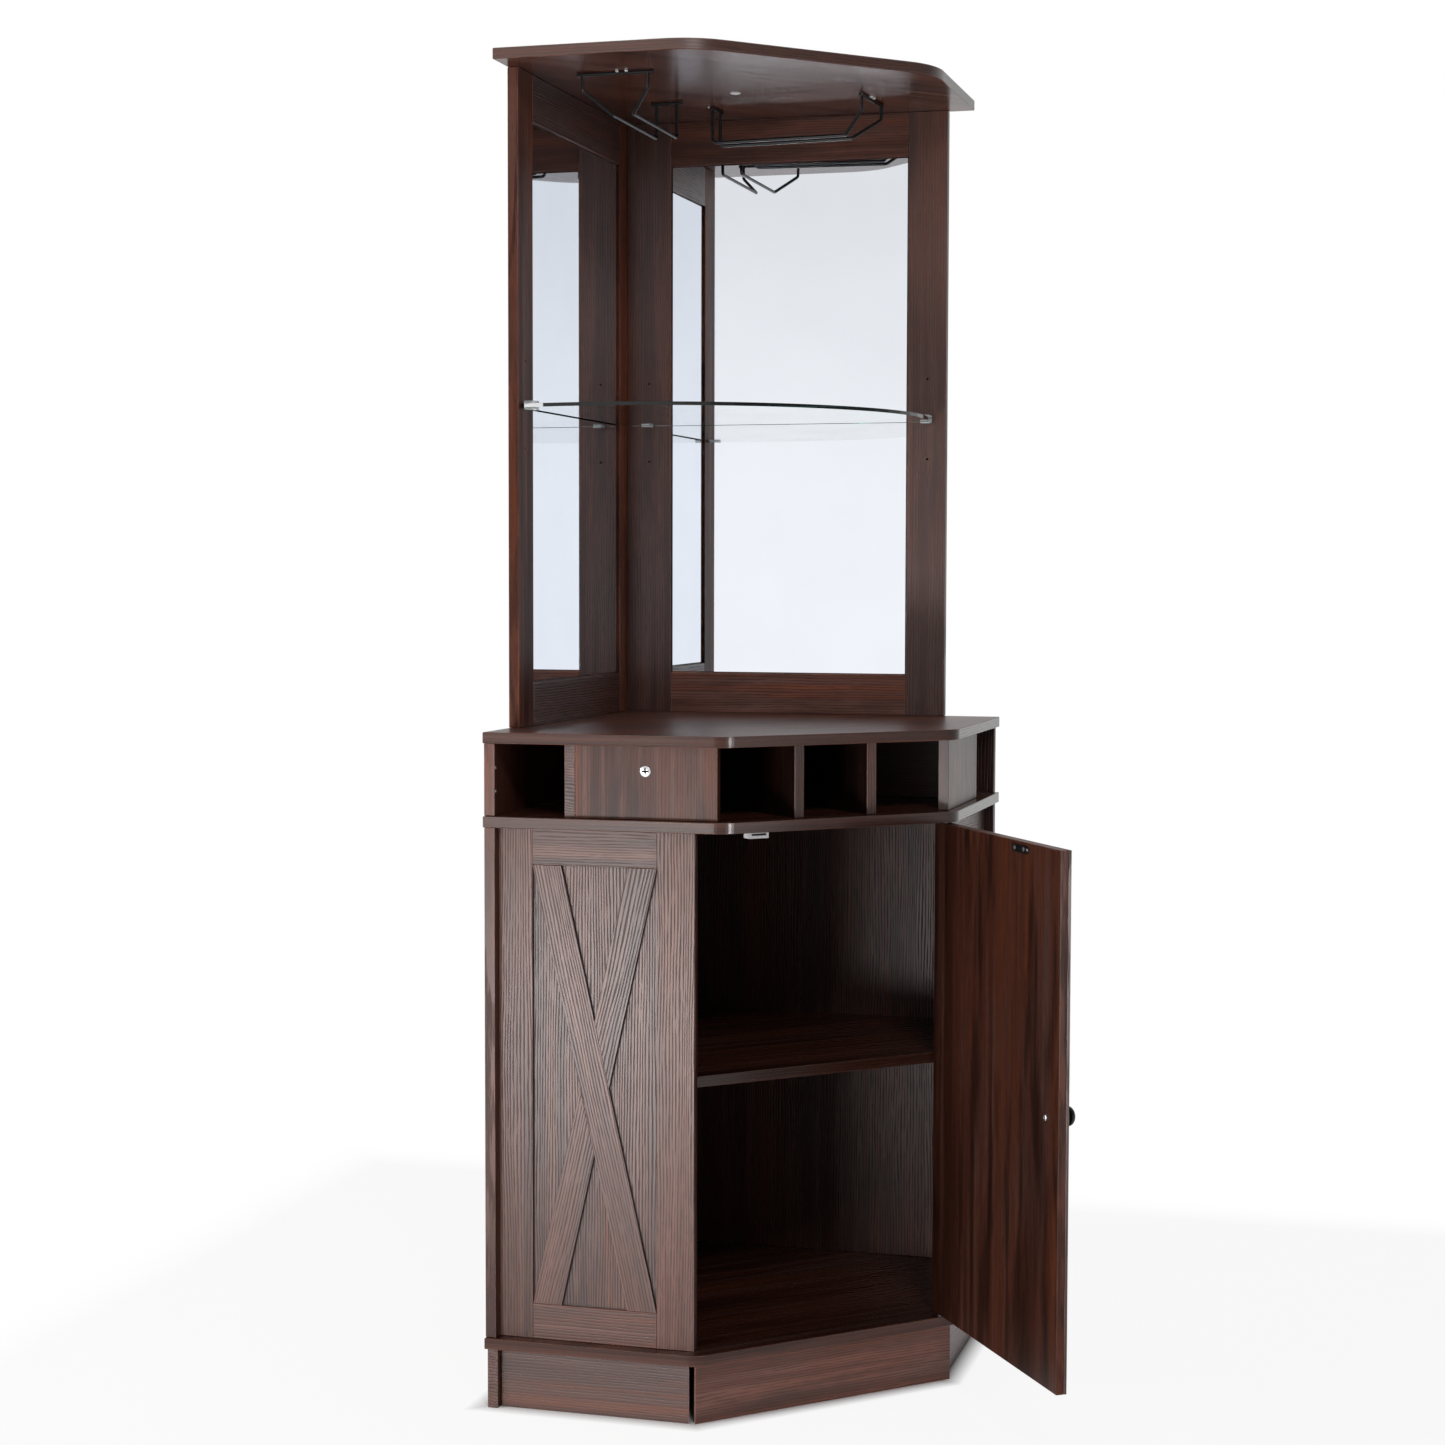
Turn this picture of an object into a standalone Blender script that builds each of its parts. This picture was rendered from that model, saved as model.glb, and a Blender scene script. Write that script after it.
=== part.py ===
"""Corner bar cabinet: base with a swinging door, bottle rack, mirrored hutch and stemware racks."""

import math

import bmesh
import bpy
from mathutils import Matrix, Vector

# All lengths are in metres. Plan outlines are pairs (left, right): the distance along the left
# wall and along the right wall of the room corner that the cabinet stands in.

# General
board_thickness = 0.015
seam = 0.0003
edge_round = 0.0007
overrun = 0.005
round_segments = 24
small_round_segments = 12
smooth_angle = 40
screw_rim_share = 0.50
screw_crown_share = 0.75

# Heights of the stacked parts
kick_height = 0.085
base_height = 0.701
bottle_rack_height = 0.099
hutch_height = 0.905

# The shaped boards: length along each wall, how far the depth of each side end stands past that
# of the base's side panels, and their front corners
counter_length = 0.600
counter_end_overhang = 0.045
bottom_end_overhang = 0.010
top_setback = 0.045
top_end_shortfall = 0.009
corner_radius = 0.040
corner_steps = 8
corner_turn = 45

# Back panels of the base and the bottle rack
back_panel_setback = 0.0055

# Kick boards
kick_recess = 0.023
kick_corner_gap = 0.0075
kick_seam = 0.0012
kick_rear_setback = 0.0125
kick_right_overshoot = 0.009

# Base side panels and their applied trim
base_recess = 0.020
base_end_depth = 0.293
slab_thickness = 0.0105
trim_thickness = 0.0042
side_rear_stile = 0.0485
side_front_stile = 0.0525
trim_top_rail = 0.050
trim_bottom_rail = 0.048
brace_width = 0.040

# Shelf of the base and its pins
shelf_height = 0.470
shelf_setback = 0.003
shelf_pin_radius = 0.0025
shelf_pin_length = 0.016
shelf_pin_depth = 0.008
shelf_pin_inset = 0.060
pin_fit = 0.0003

# Door, with its pivot pins at the hinge edge
door_side_gap = 0.00045
door_floor_gap = 0.0027
door_head_gap = 0.0030
door_front_gap = 0.0015
door_stile = 0.050
door_open_angle = 79.2
pivot_edge_distance = 0.014
pivot_depth = 0.0075
pivot_radius = 0.0022
pivot_fit = 0.0004
pivot_length = 0.012
pivot_collar_radius = 0.005
pivot_collar_seat = 0.0004

# Knob and its screw
knob_edge_distance = 0.038
knob_height = 0.452
knob_radius = 0.013
knob_projection = 0.025
knob_foot_radius = 0.0085
knob_foot_height = 0.0021
knob_neck_radius = 0.0055
knob_neck_start = 0.0045
knob_neck_end = 0.009
knob_crown_start_share = 0.56
knob_brim_share = 0.80
knob_rim_share = 0.22
knob_crown_steps = 6
knob_screw_radius = 0.0020
knob_screw_head_radius = 0.0045
knob_screw_head_height = 0.0020
knob_screw_reach = 0.010

# Magnetic catch and its strike plate, each placed from the door's free edge
catch_edge_distance = 0.0985
catch_width = 0.0305
catch_depth = 0.0145
catch_height = 0.0125
magnet_level = 0.0040
magnet_width = 0.022
magnet_height = 0.0024
magnet_depth = 0.006
magnet_proud = 0.0004
strike_edge_distance = 0.119
strike_width = 0.050
strike_height = 0.010
strike_thickness = 0.0012
strike_drop = 0.0045
strike_end_share = 0.45
strike_end_steps = 4

# Bottle rack
rack_recess = 0.014
rack_end_overhang = 0.033
side_cubby_width = 0.097
side_divider_back = 0.200
front_divider_spacing = 0.115
front_divider_depth = 0.280
fascia_screw_radius = 0.0073
fascia_screw_height = 0.0018
fascia_screw_inset = 0.0995
fascia_screw_level = 0.065

# Hutch panels: each is a frame of stiles and rails round a mirror
left_panel_setback = 0.057
right_panel_setback = 0.0375
outer_stile = 0.059
left_corner_stile = 0.050
right_corner_stile = 0.0707
hutch_bottom_rail = 0.061
hutch_top_rail = 0.0655
mirror_thickness = 0.004
mirror_chamfer = 0.0018
mirror_recess = 0.0037
mirror_back_thickness = 0.003

# Glass shelf, its clips and the rows of holes that they go in
glass_hole_level = 0.447
glass_drop = 0.0045
glass_thickness = 0.005
glass_wall_gap = 0.003
glass_straight = 0.103
glass_past_left_panel = 0.006
glass_short_of_right_panel = 0.0135
glass_arc_steps = 24
peg_hole_radius = 0.0020
peg_hole_depth = 0.009
peg_hole_pitch = 0.060
peg_hole_steps = (-1, 0, 1)
peg_hole_inset = 0.028
clip_width = 0.014
clip_reach = 0.018
clip_jaw = 0.0048
clip_back = 0.0020
clip_peg_radius = 0.0016
clip_peg_length = 0.007
clip_screw_radius = 0.0045
clip_screw_height = 0.0030
clip_screw_let_in = 0.0024

# Stemware racks. Each stands at its own distances from the two walls, and the right one is
# turned a little out of square.
wire_radius = 0.0025
wire_sides = 10
rack_length = 0.241
rail_length = 0.207
rail_spacing = 0.031
rail_drop = 0.053
mouth_spacing = 0.095
mouth_drop = 0.0237
bar_overhang = 0.008
wire_bend = 0.006
wire_bend_steps = 3
left_rack_across = 0.1325
left_rack_along = 0.1885
left_rack_turn = 0.0
right_rack_across = 0.1171
right_rack_along = 0.1883
right_rack_turn = 4.8

# Cap over the fastening in the top board
cap_radius = 0.0075
cap_height = 0.0012
cap_left = 0.231
cap_right = 0.249

# Levels, worked out from the heights
bottom_board_base = kick_height
base_floor = bottom_board_base + board_thickness
rack_board_base = base_floor + base_height
rack_floor = rack_board_base + board_thickness
counter_base = rack_floor + bottle_rack_height
hutch_floor = counter_base + board_thickness
hutch_ceiling = hutch_floor + hutch_height

# Places in the plan
room_corner_turn = -135
root_two = math.sqrt(2)
counter_end_depth = base_end_depth + counter_end_overhang
bottom_end_depth = base_end_depth + bottom_end_overhang
top_end_depth = base_end_depth - top_end_shortfall
rack_end_depth = base_end_depth + rack_end_overhang
back_face = board_thickness
beside_back = back_face + seam
kick_face = counter_length - kick_recess
base_face = counter_length - base_recess
rack_face = counter_length - rack_recess
back_panel_length = counter_length - back_panel_setback
top_length = counter_length - top_setback
left_panel_length = top_length - left_panel_setback
right_panel_length = top_length - right_panel_setback
kick_front_plane = counter_length + bottom_end_depth - kick_recess * root_two
base_front_plane = base_face + base_end_depth
rack_front_plane = rack_face + rack_end_depth
door_width = (base_face - base_end_depth) * root_two - door_side_gap * 2

# The origin is the middle of the front kick board's underside. The room corner lies behind it.
corner_behind = (kick_front_plane - board_thickness * root_two / 2) / root_two


def clear_scene():
    for thing in list(bpy.data.objects):
        bpy.data.objects.remove(thing, do_unlink=True)


def principled(name, colour, roughness, metallic=0.0):
    made = bpy.data.materials.new(name)
    made.use_nodes = True
    shader = made.node_tree.nodes["Principled BSDF"]
    shader.inputs["Base Color"].default_value = (*colour, 1.0)
    shader.inputs["Roughness"].default_value = roughness
    shader.inputs["Metallic"].default_value = metallic
    return made


def empty(name, location, turn):
    made = bpy.data.objects.new(name, None)
    made.location = location
    made.rotation_euler = (0.0, 0.0, turn)
    bpy.context.scene.collection.objects.link(made)
    return made


def add_piece(name, shape, finish, parent, edge=edge_round):
    """Turn a bmesh into a named object, with its straight edges eased by a bevel."""
    bmesh.ops.recalc_face_normals(shape, faces=shape.faces)
    mesh = bpy.data.meshes.new(name)
    shape.to_mesh(mesh)
    shape.free()
    made = bpy.data.objects.new(name, mesh)
    made.parent = parent
    bpy.context.scene.collection.objects.link(made)
    mesh.materials.append(finish)
    if edge:
        bevel = made.modifiers.new("eased_edges", "BEVEL")
        bevel.width = edge
        bevel.segments = 1
        bevel.limit_method = "ANGLE"
    return made


def shade_round(piece):
    piece.data.shade_smooth()
    piece.data.set_sharp_from_angle(angle=math.radians(smooth_angle))


def prism(outline, low, high, shape=None):
    """Extrude a plan outline from one level to another, as one closed body."""
    shape = shape or bmesh.new()
    corners = [shape.verts.new((x, y, low)) for x, y in outline]
    face = shape.faces.new(corners)
    risen = bmesh.ops.extrude_face_region(shape, geom=[face])
    moved = [item for item in risen["geom"] if isinstance(item, bmesh.types.BMVert)]
    bmesh.ops.translate(shape, vec=(0, 0, high - low), verts=moved)
    return shape


def rectangle(x_low, x_high, y_low, y_high):
    return [(x_low, y_low), (x_high, y_low), (x_high, y_high), (x_low, y_high)]


def block(low, high, shape=None):
    return prism(rectangle(low[0], high[0], low[1], high[1]), low[2], high[2], shape)


def turned(profile, segments, matrix=None, shape=None):
    """Revolve (radius, height) points about Z; the first and last lie on the axis."""
    shape = shape or bmesh.new()
    rings = []
    for radius, height in profile:
        if radius == 0:
            rings.append([shape.verts.new((0, 0, height))])
            continue
        turns = [math.tau * step / segments for step in range(segments)]
        rings.append([shape.verts.new((radius * math.cos(a), radius * math.sin(a), height)) for a in turns])
    for lower, upper in zip(rings, rings[1:]):
        for step in range(segments):
            after = (step + 1) % segments
            corners = [lower[step % len(lower)], lower[after % len(lower)]]
            corners += [upper[after % len(upper)], upper[step % len(upper)]]
            shape.faces.new(list(dict.fromkeys(corners)))
    if matrix is not None:
        bmesh.ops.transform(shape, matrix=matrix, verts=[vert for ring in rings for vert in ring])
    return shape


def rod(radius, low, high, segments=small_round_segments, matrix=None, shape=None):
    return turned([(0, low), (radius, low), (radius, high), (0, high)], segments, matrix, shape)


def head_profile(radius, height):
    """Low domed screw head, from the rim of its seat to its middle."""
    profile = [(radius, 0), (radius, height * screw_rim_share)]
    return profile + [(radius * screw_crown_share, height), (0, height)]


def screw_head(radius, height, matrix):
    """A screw head that stands on the plane of the matrix, facing its +Z."""
    return turned([(0, 0)] + head_profile(radius, height), small_round_segments, matrix)


def pointing(axis, place):
    """Matrix that turns +Z to an axis and moves the origin to a place."""
    return Matrix.Translation(place) @ Vector(axis).to_track_quat("Z", "Y").to_matrix().to_4x4()


def guide(name, shape, parent):
    """A hidden shape for a Boolean, left out of the model."""
    made = add_piece(name, shape, bpy.data.materials["guide"], parent, edge=0)
    made.hide_render = True
    made.display_type = "WIRE"
    return made


def combine(piece, other, operation):
    boolean = piece.modifiers.new(f"{operation.lower()}_{other.name}", "BOOLEAN")
    boolean.operation = operation
    boolean.solver = "EXACT"
    boolean.object = other


def swapped(outline):
    """The same outline on the other side of the room corner's diagonal."""
    return [(right, left) for left, right in outline]


def for_side(side, outline):
    return outline if side == "left" else swapped(outline)


def rounded_board(length, end_depth):
    """Five-sided board with an arc at each of its two front corners."""
    outline = [(0, 0), (length, 0)]
    tangent = corner_radius * math.tan(math.radians(corner_turn) / 2)
    for step in range(corner_steps + 1):
        turn = math.radians(corner_turn) * step / corner_steps
        left = length - corner_radius + corner_radius * math.cos(turn)
        right = end_depth - tangent + corner_radius * math.sin(turn)
        outline.append((left, right))
    outline += [(right, left) for left, right in reversed(outline[2:])]
    return outline + [(0, length)]


def brace_end_width(opening_width, opening_height):
    """Level width of a diagonal brace, whose width square to its run is brace_width."""
    square = brace_width ** 2
    spare = opening_height ** 2 - square
    reach = square * (opening_height ** 2 + opening_width ** 2)
    root = math.sqrt((square * opening_width) ** 2 + spare * reach)
    return (root - square * opening_width) / spare


def ring(outer, inner, low, high):
    """Flat frame between two rectangles, as one closed body."""
    shape = bmesh.new()
    loops = [[shape.verts.new((x, y, low)) for x, y in outline] for outline in (outer, inner)]
    faces = []
    for step in range(4):
        after = (step + 1) % 4
        faces.append(shape.faces.new((loops[0][step], loops[0][after], loops[1][after], loops[1][step])))
    risen = bmesh.ops.extrude_face_region(shape, geom=faces)
    moved = [item for item in risen["geom"] if isinstance(item, bmesh.types.BMVert)]
    bmesh.ops.translate(shape, vec=(0, 0, high - low), verts=moved)
    return shape


def cross_outline(start, end, low, high):
    """Outline (along, height) of two crossed braces that reach into the corners of an opening."""
    wide = brace_end_width(end - start, high - low)
    run = end - start - wide
    rise = high - low

    def meeting(rising_side, falling_side):
        """Point where a side of the rising brace meets a side of the falling one."""
        height = (run + falling_side - rising_side) / (2 * run)
        return (start + run * height + rising_side, low + rise * height)

    outline = [(start, low), (start + wide, low), meeting(wide, 0), (end - wide, low), (end, low)]
    outline += [meeting(wide, wide), (end, high), (end - wide, high), meeting(0, wide)]
    return outline + [(start + wide, high), (start, high), meeting(0, 0)]


def add_trim(prefix, span, stiles, levels, finish, parent, place):
    """Applied frame and crossed braces; place maps (along, height, depth) to the parent."""
    start, end = span
    low, high = levels
    inner = (start + stiles[0], end - stiles[1], low + trim_bottom_rail, high - trim_top_rail)
    frame = ring(rectangle(start, end, low, high), rectangle(*inner), 0, trim_thickness)
    inside = (inner[0] + seam, inner[1] - seam, inner[2] + seam, inner[3] - seam)
    braces = prism(cross_outline(*inside), 0, trim_thickness)
    for name, shape in (("frame", frame), ("braces", braces)):
        for vert in shape.verts:
            vert.co = place(*vert.co)
        add_piece(f"{prefix}_{name}", shape, finish, parent)


def add_boards(corner, finishes):
    """The four shaped boards that all the uprights stand between."""
    wood = finishes["wood"]
    boards = {}
    levels = {"bottom_board": (counter_length, bottom_end_depth, bottom_board_base)}
    levels["rack_bottom_board"] = (counter_length, counter_end_depth, rack_board_base)
    levels["counter_top"] = (counter_length, counter_end_depth, counter_base)
    levels["top_board"] = (top_length, top_end_depth, hutch_ceiling)
    for name, (length, end_depth, low) in levels.items():
        shape = prism(rounded_board(length, end_depth), low, low + board_thickness)
        boards[name] = add_piece(name, shape, wood, corner)
    return boards


def add_kick(corner, wood):
    """Kick boards. The front one runs on past the mitred end of the right one."""
    top = kick_height - seam
    inner_face = kick_face - board_thickness
    rear = back_face + kick_seam
    front_corner = kick_front_plane - kick_face
    inner_corner = kick_front_plane - board_thickness * root_two - inner_face
    over = kick_right_overshoot
    front = [(inner_face, inner_corner), (kick_face, front_corner)]
    front += [(front_corner - over, kick_face + over), (inner_corner - over, inner_face + over)]
    add_piece("kick_front", prism(front, 0, top), wood, corner)
    left = [(inner_face, rear), (kick_face, rear)]
    left += [(kick_face, front_corner - kick_corner_gap), (inner_face, inner_corner - kick_corner_gap)]
    add_piece("kick_left", prism(left, 0, top), wood, corner)
    right_end = inner_corner - kick_seam * root_two
    right = [(rear, inner_face), (rear, kick_face)]
    right += [(right_end - board_thickness, kick_face), (right_end, inner_face)]
    add_piece("kick_right", prism(right, 0, top), wood, corner)
    strip_end = counter_length - kick_rear_setback
    left_strip = rectangle(0, strip_end, 0, back_face)
    right_strip = rectangle(0, back_face, beside_back, strip_end)
    add_piece("kick_rear_left", prism(left_strip, 0, top), wood, corner)
    add_piece("kick_rear_right", prism(right_strip, 0, top), wood, corner)


def add_back_panels(corner, wood):
    """Back panels of the base and of the bottle rack. The left one runs into the room corner."""
    panels = {}
    stacks = {"base": (base_floor, rack_board_base), "rack": (rack_floor, counter_base)}
    for stack, (low, high) in stacks.items():
        left = rectangle(0, back_panel_length, 0, back_face)
        right = rectangle(0, back_face, beside_back, back_panel_length)
        for name, outline in (("left", left), ("right", right)):
            shape = prism(outline, low + seam, high - seam)
            panels[stack, name] = add_piece(f"{stack}_back_{name}", shape, wood, corner)
    return panels


def add_base_sides(corner, wood):
    """Side slab and applied trim of the base, on each side."""
    low = base_floor + seam
    high = rack_board_base - seam
    slab_inner = base_face - board_thickness
    slab = rectangle(slab_inner, slab_inner + slab_thickness, beside_back, base_end_depth)
    span = (beside_back, base_end_depth)
    stiles = (side_rear_stile, side_front_stile)
    trim_inner = base_face - trim_thickness
    slabs = {}
    for side in ("left", "right"):
        shape = prism(for_side(side, slab), low, high)
        slabs[side] = add_piece(f"base_side_{side}", shape, wood, corner)

        def place(along, height, depth, side=side):
            spot = (trim_inner + depth, along)
            spot = spot if side == "left" else (spot[1], spot[0])
            return (*spot, height)

        add_trim(f"side_{side}", span, stiles, (low, high), wood, corner, place)
    return slabs


def add_base_shelf(corner, finishes, panels, slabs):
    """Shelf of the base, on four pins let into the side slabs and the back panels."""
    top = shelf_height
    low = top - board_thickness
    near = back_face + seam * 2
    far = base_face - board_thickness - seam
    front = base_end_depth - shelf_setback
    outline = [(near, near), (far, near), (far, front), (front, far), (near, far)]
    add_piece("base_shelf", prism(outline, low, top), finishes["wood"], corner)
    level = low - seam - shelf_pin_radius
    slab_inner = base_face - board_thickness
    back_along = back_panel_length / 2
    seats = {"side_left": (slabs["left"], (slab_inner, front - shelf_pin_inset), (1, 0, 0))}
    seats["side_right"] = (slabs["right"], (front - shelf_pin_inset, slab_inner), (0, 1, 0))
    seats["back_left"] = (panels["base", "left"], (back_along, back_face), (0, -1, 0))
    seats["back_right"] = (panels["base", "right"], (back_face, back_along), (-1, 0, 0))
    for name, (board, place, into) in seats.items():
        matrix = pointing(into, (*place, level))
        pin = rod(shelf_pin_radius, shelf_pin_depth - shelf_pin_length, shelf_pin_depth, matrix=matrix)
        shade_round(add_piece(f"shelf_pin_{name}", pin, finishes["steel"], corner, edge=0))
        hole = rod(shelf_pin_radius + pin_fit, -overrun, shelf_pin_depth + pin_fit, matrix=matrix)
        combine(board, guide(f"pin_hole_{name}", hole, corner), "DIFFERENCE")


def add_bottle_rack(corner, finishes):
    """Dividers and fascias of the bottle rack, between the rack's board and the counter."""
    wood = finishes["wood"]
    low = rack_floor + seam
    high = counter_base - seam
    divider_near = back_face + side_cubby_width
    divider_far = divider_near + board_thickness
    fascia_inner = rack_face - board_thickness
    divider = rectangle(side_divider_back, rack_face, divider_near, divider_far)
    fascia = rectangle(fascia_inner, rack_face, divider_far + seam, rack_end_depth)
    for side in ("left", "right"):
        shape = prism(for_side(side, divider), low, high)
        add_piece(f"rack_side_divider_{side}", shape, wood, corner)
        add_piece(f"rack_fascia_{side}", prism(for_side(side, fascia), low, high), wood, corner)
    front = corner_behind - rack_front_plane / root_two
    for side, sign in (("left", -1), ("right", 1)):
        centre = sign * front_divider_spacing / 2
        edges = (centre - board_thickness / 2, centre + board_thickness / 2)
        outline = rectangle(*edges, front, front + front_divider_depth)
        add_piece(f"rack_front_divider_{side}", prism(outline, low, high), wood, None)
    spot = (rack_face + seam, rack_end_depth - fascia_screw_inset, rack_floor + fascia_screw_level)
    screw = screw_head(fascia_screw_radius, fascia_screw_height, pointing((1, 0, 0), spot))
    shade_round(add_piece("rack_fascia_screw", screw, finishes["steel"], corner, edge=0))


def add_hutch_panel(side, start, corner_stile, length, corner, finishes):
    """One hutch panel: stiles, rails, and a mirror in front of its backing."""
    wood = finishes["wood"]
    low = hutch_floor + seam
    high = hutch_ceiling - seam
    mirror_start = start + corner_stile
    mirror_end = length - outer_stile
    rail_low = hutch_floor + hutch_bottom_rail
    rail_high = hutch_ceiling - hutch_top_rail

    def bar(name, along_low, along_high, bottom, top):
        outline = for_side(side, rectangle(along_low, along_high, 0, board_thickness))
        return add_piece(f"hutch_{side}_{name}", prism(outline, bottom, top), wood, corner)

    stiles = {"corner": bar("corner_stile", start, mirror_start, low, high)}
    stiles["outer"] = bar("outer_stile", mirror_end, length, low, high)
    bar("bottom_rail", mirror_start + seam, mirror_end - seam, low, rail_low)
    bar("top_rail", mirror_start + seam, mirror_end - seam, rail_high, high)

    face = board_thickness - mirror_recess
    glass_back = face - mirror_thickness
    opening = (mirror_start + seam, mirror_end - seam)

    def sheet(back, front):
        outline = for_side(side, rectangle(*opening, back, front))
        return prism(outline, rail_low + seam, rail_high - seam)

    pane = sheet(glass_back, face)
    depth_axis = 1 if side == "left" else 0
    rim = [edge for edge in pane.edges if all(vert.co[depth_axis] > face - seam for vert in edge.verts)]
    bmesh.ops.bevel(pane, geom=rim, offset=mirror_chamfer, segments=1, affect="EDGES")
    add_piece(f"mirror_{side}", pane, finishes["mirror"], corner, edge=0)
    backing = sheet(glass_back - seam - mirror_back_thickness, glass_back - seam)
    add_piece(f"mirror_backing_{side}", backing, finishes["backing"], corner, edge=0)
    return stiles


def add_peg_holes(side, stile, along, corner):
    """Row of three blind holes in a stile, for the glass shelf's clips."""
    inward = (0, -1, 0) if side == "left" else (-1, 0, 0)
    for step in peg_hole_steps:
        level = hutch_floor + glass_hole_level + step * peg_hole_pitch
        (spot,) = for_side(side, [(along, board_thickness)])
        matrix = pointing(inward, (*spot, level))
        hole = rod(peg_hole_radius, -overrun, peg_hole_depth, matrix=matrix)
        combine(stile, guide(f"peg_hole_{stile.name}_{step + 1}", hole, corner), "DIFFERENCE")


def add_hutch(corner, finishes):
    left = add_hutch_panel("left", 0, left_corner_stile, left_panel_length, corner, finishes)
    right = add_hutch_panel("right", beside_back, right_corner_stile, right_panel_length, corner, finishes)
    rows = {"left": ("left", left["outer"], left_panel_length - peg_hole_inset)}
    rows["right"] = ("right", right["outer"], right_panel_length - peg_hole_inset)
    rows["corner"] = ("right", right["corner"], beside_back + right_corner_stile / 2)
    for side, stile, along in rows.values():
        add_peg_holes(side, stile, along, corner)
    return {name: (side, along) for name, (side, stile, along) in rows.items()}


def add_clip(name, matrix, corner, steel):
    """A clip: jaws above and below the glass, a peg for the stile and a clamping screw below."""
    glass_low = -glass_drop
    glass_high = glass_low + glass_thickness
    top = glass_high + seam + clip_jaw
    bottom = glass_low - seam - clip_jaw
    profile = [(seam, bottom), (clip_reach, bottom), (clip_reach, glass_low - seam)]
    profile += [(seam + clip_back, glass_low - seam), (seam + clip_back, glass_high + seam)]
    profile += [(clip_reach, glass_high + seam), (clip_reach, top), (seam, top)]
    body = prism(profile, -clip_width / 2, clip_width / 2)
    stand = Matrix(((0, 0, 1, 0), (1, 0, 0, 0), (0, 1, 0, 0), (0, 0, 0, 1)))
    bmesh.ops.transform(body, matrix=matrix @ stand, verts=body.verts)
    made = add_piece(f"glass_clip_{name}", body, steel, corner, edge=0)
    into_stile = matrix @ Matrix.Rotation(math.pi / 2, 4, "X")
    peg = rod(clip_peg_radius, -clip_back, clip_peg_length, matrix=into_stile)
    combine(made, guide(f"clip_peg_{name}", peg, corner), "UNION")
    under = Matrix.Translation((0, (clip_reach + clip_back) / 2, bottom))
    screw = rod(clip_screw_radius, -clip_screw_height, clip_screw_let_in, matrix=matrix @ under)
    combine(made, guide(f"clip_screw_{name}", screw, corner), "UNION")


def add_glass_shelf(corner, finishes, rows):
    """Quarter-round glass shelf and the clips that hold it to the stiles."""
    hole_level = hutch_floor + glass_hole_level
    low = hole_level - glass_drop
    near = board_thickness + glass_wall_gap
    centre = board_thickness + glass_straight
    left_radius = left_panel_length + glass_past_left_panel - centre
    right_radius = right_panel_length - glass_short_of_right_panel - centre
    first = math.asin((near - centre) / right_radius)
    last = math.acos((near - centre) / left_radius)
    outline = [(near, near)]
    for step in range(glass_arc_steps + 1):
        turn = first + (last - first) * step / glass_arc_steps
        outline.append((centre + left_radius * math.cos(turn), centre + right_radius * math.sin(turn)))
    shelf = prism(outline, low, low + glass_thickness)
    add_piece("glass_shelf", shelf, finishes["glass"], corner, edge=0)
    for name, (side, along) in rows.items():
        add_clip(name, clip_matrix(side, along, hole_level), corner, finishes["steel"])


def clip_matrix(side, along, level):
    """Frame on a stile's face: X along the wall, Y out of the stile, Z up."""
    if side == "left":
        return Matrix.Translation((along, board_thickness, level))
    turned_frame = Matrix(((0, 1, 0, 0), (1, 0, 0, 0), (0, 0, 1, 0), (0, 0, 0, 1)))
    return Matrix.Translation((board_thickness, along, level)) @ turned_frame


def bent(points):
    """Round each corner of a path with an arc of the wire's bend radius."""
    path = [Vector(points[0])]
    for before, corner_point, after in zip(points, points[1:], points[2:]):
        here = Vector(corner_point)
        back = (Vector(before) - here).normalized()
        ahead = (Vector(after) - here).normalized()
        half = back.angle(ahead) / 2
        start = here + back * (wire_bend / math.tan(half))
        end = here + ahead * (wire_bend / math.tan(half))
        centre = here + (back + ahead).normalized() * (wire_bend / math.sin(half))
        first = (start - centre).normalized()
        last = (end - centre).normalized()
        for step in range(wire_bend_steps + 1):
            path.append(centre + first.slerp(last, step / wire_bend_steps) * wire_bend)
    return path + [Vector(points[-1])]


def tube(path, radius, shape):
    """Closed tube along a path, its rings carried along without twist."""
    tangents = []
    for index in range(len(path)):
        before = path[max(index - 1, 0)]
        after = path[min(index + 1, len(path) - 1)]
        tangents.append((after - before).normalized())
    side = tangents[0].orthogonal().normalized()
    rings = []
    for point, tangent in zip(path, tangents):
        side = (side - tangent * side.dot(tangent)).normalized()
        other = tangent.cross(side)
        ring = []
        for step in range(wire_sides):
            turn = math.tau * step / wire_sides
            spoke = side * math.cos(turn) + other * math.sin(turn)
            ring.append(shape.verts.new(point + spoke * radius))
        rings.append(ring)
    for lower, upper in zip(rings, rings[1:]):
        for step in range(wire_sides):
            after = (step + 1) % wire_sides
            shape.faces.new((lower[step], lower[after], upper[after], upper[step]))
    shape.faces.new(list(reversed(rings[0])))
    shape.faces.new(rings[-1])
    return shape


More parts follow.
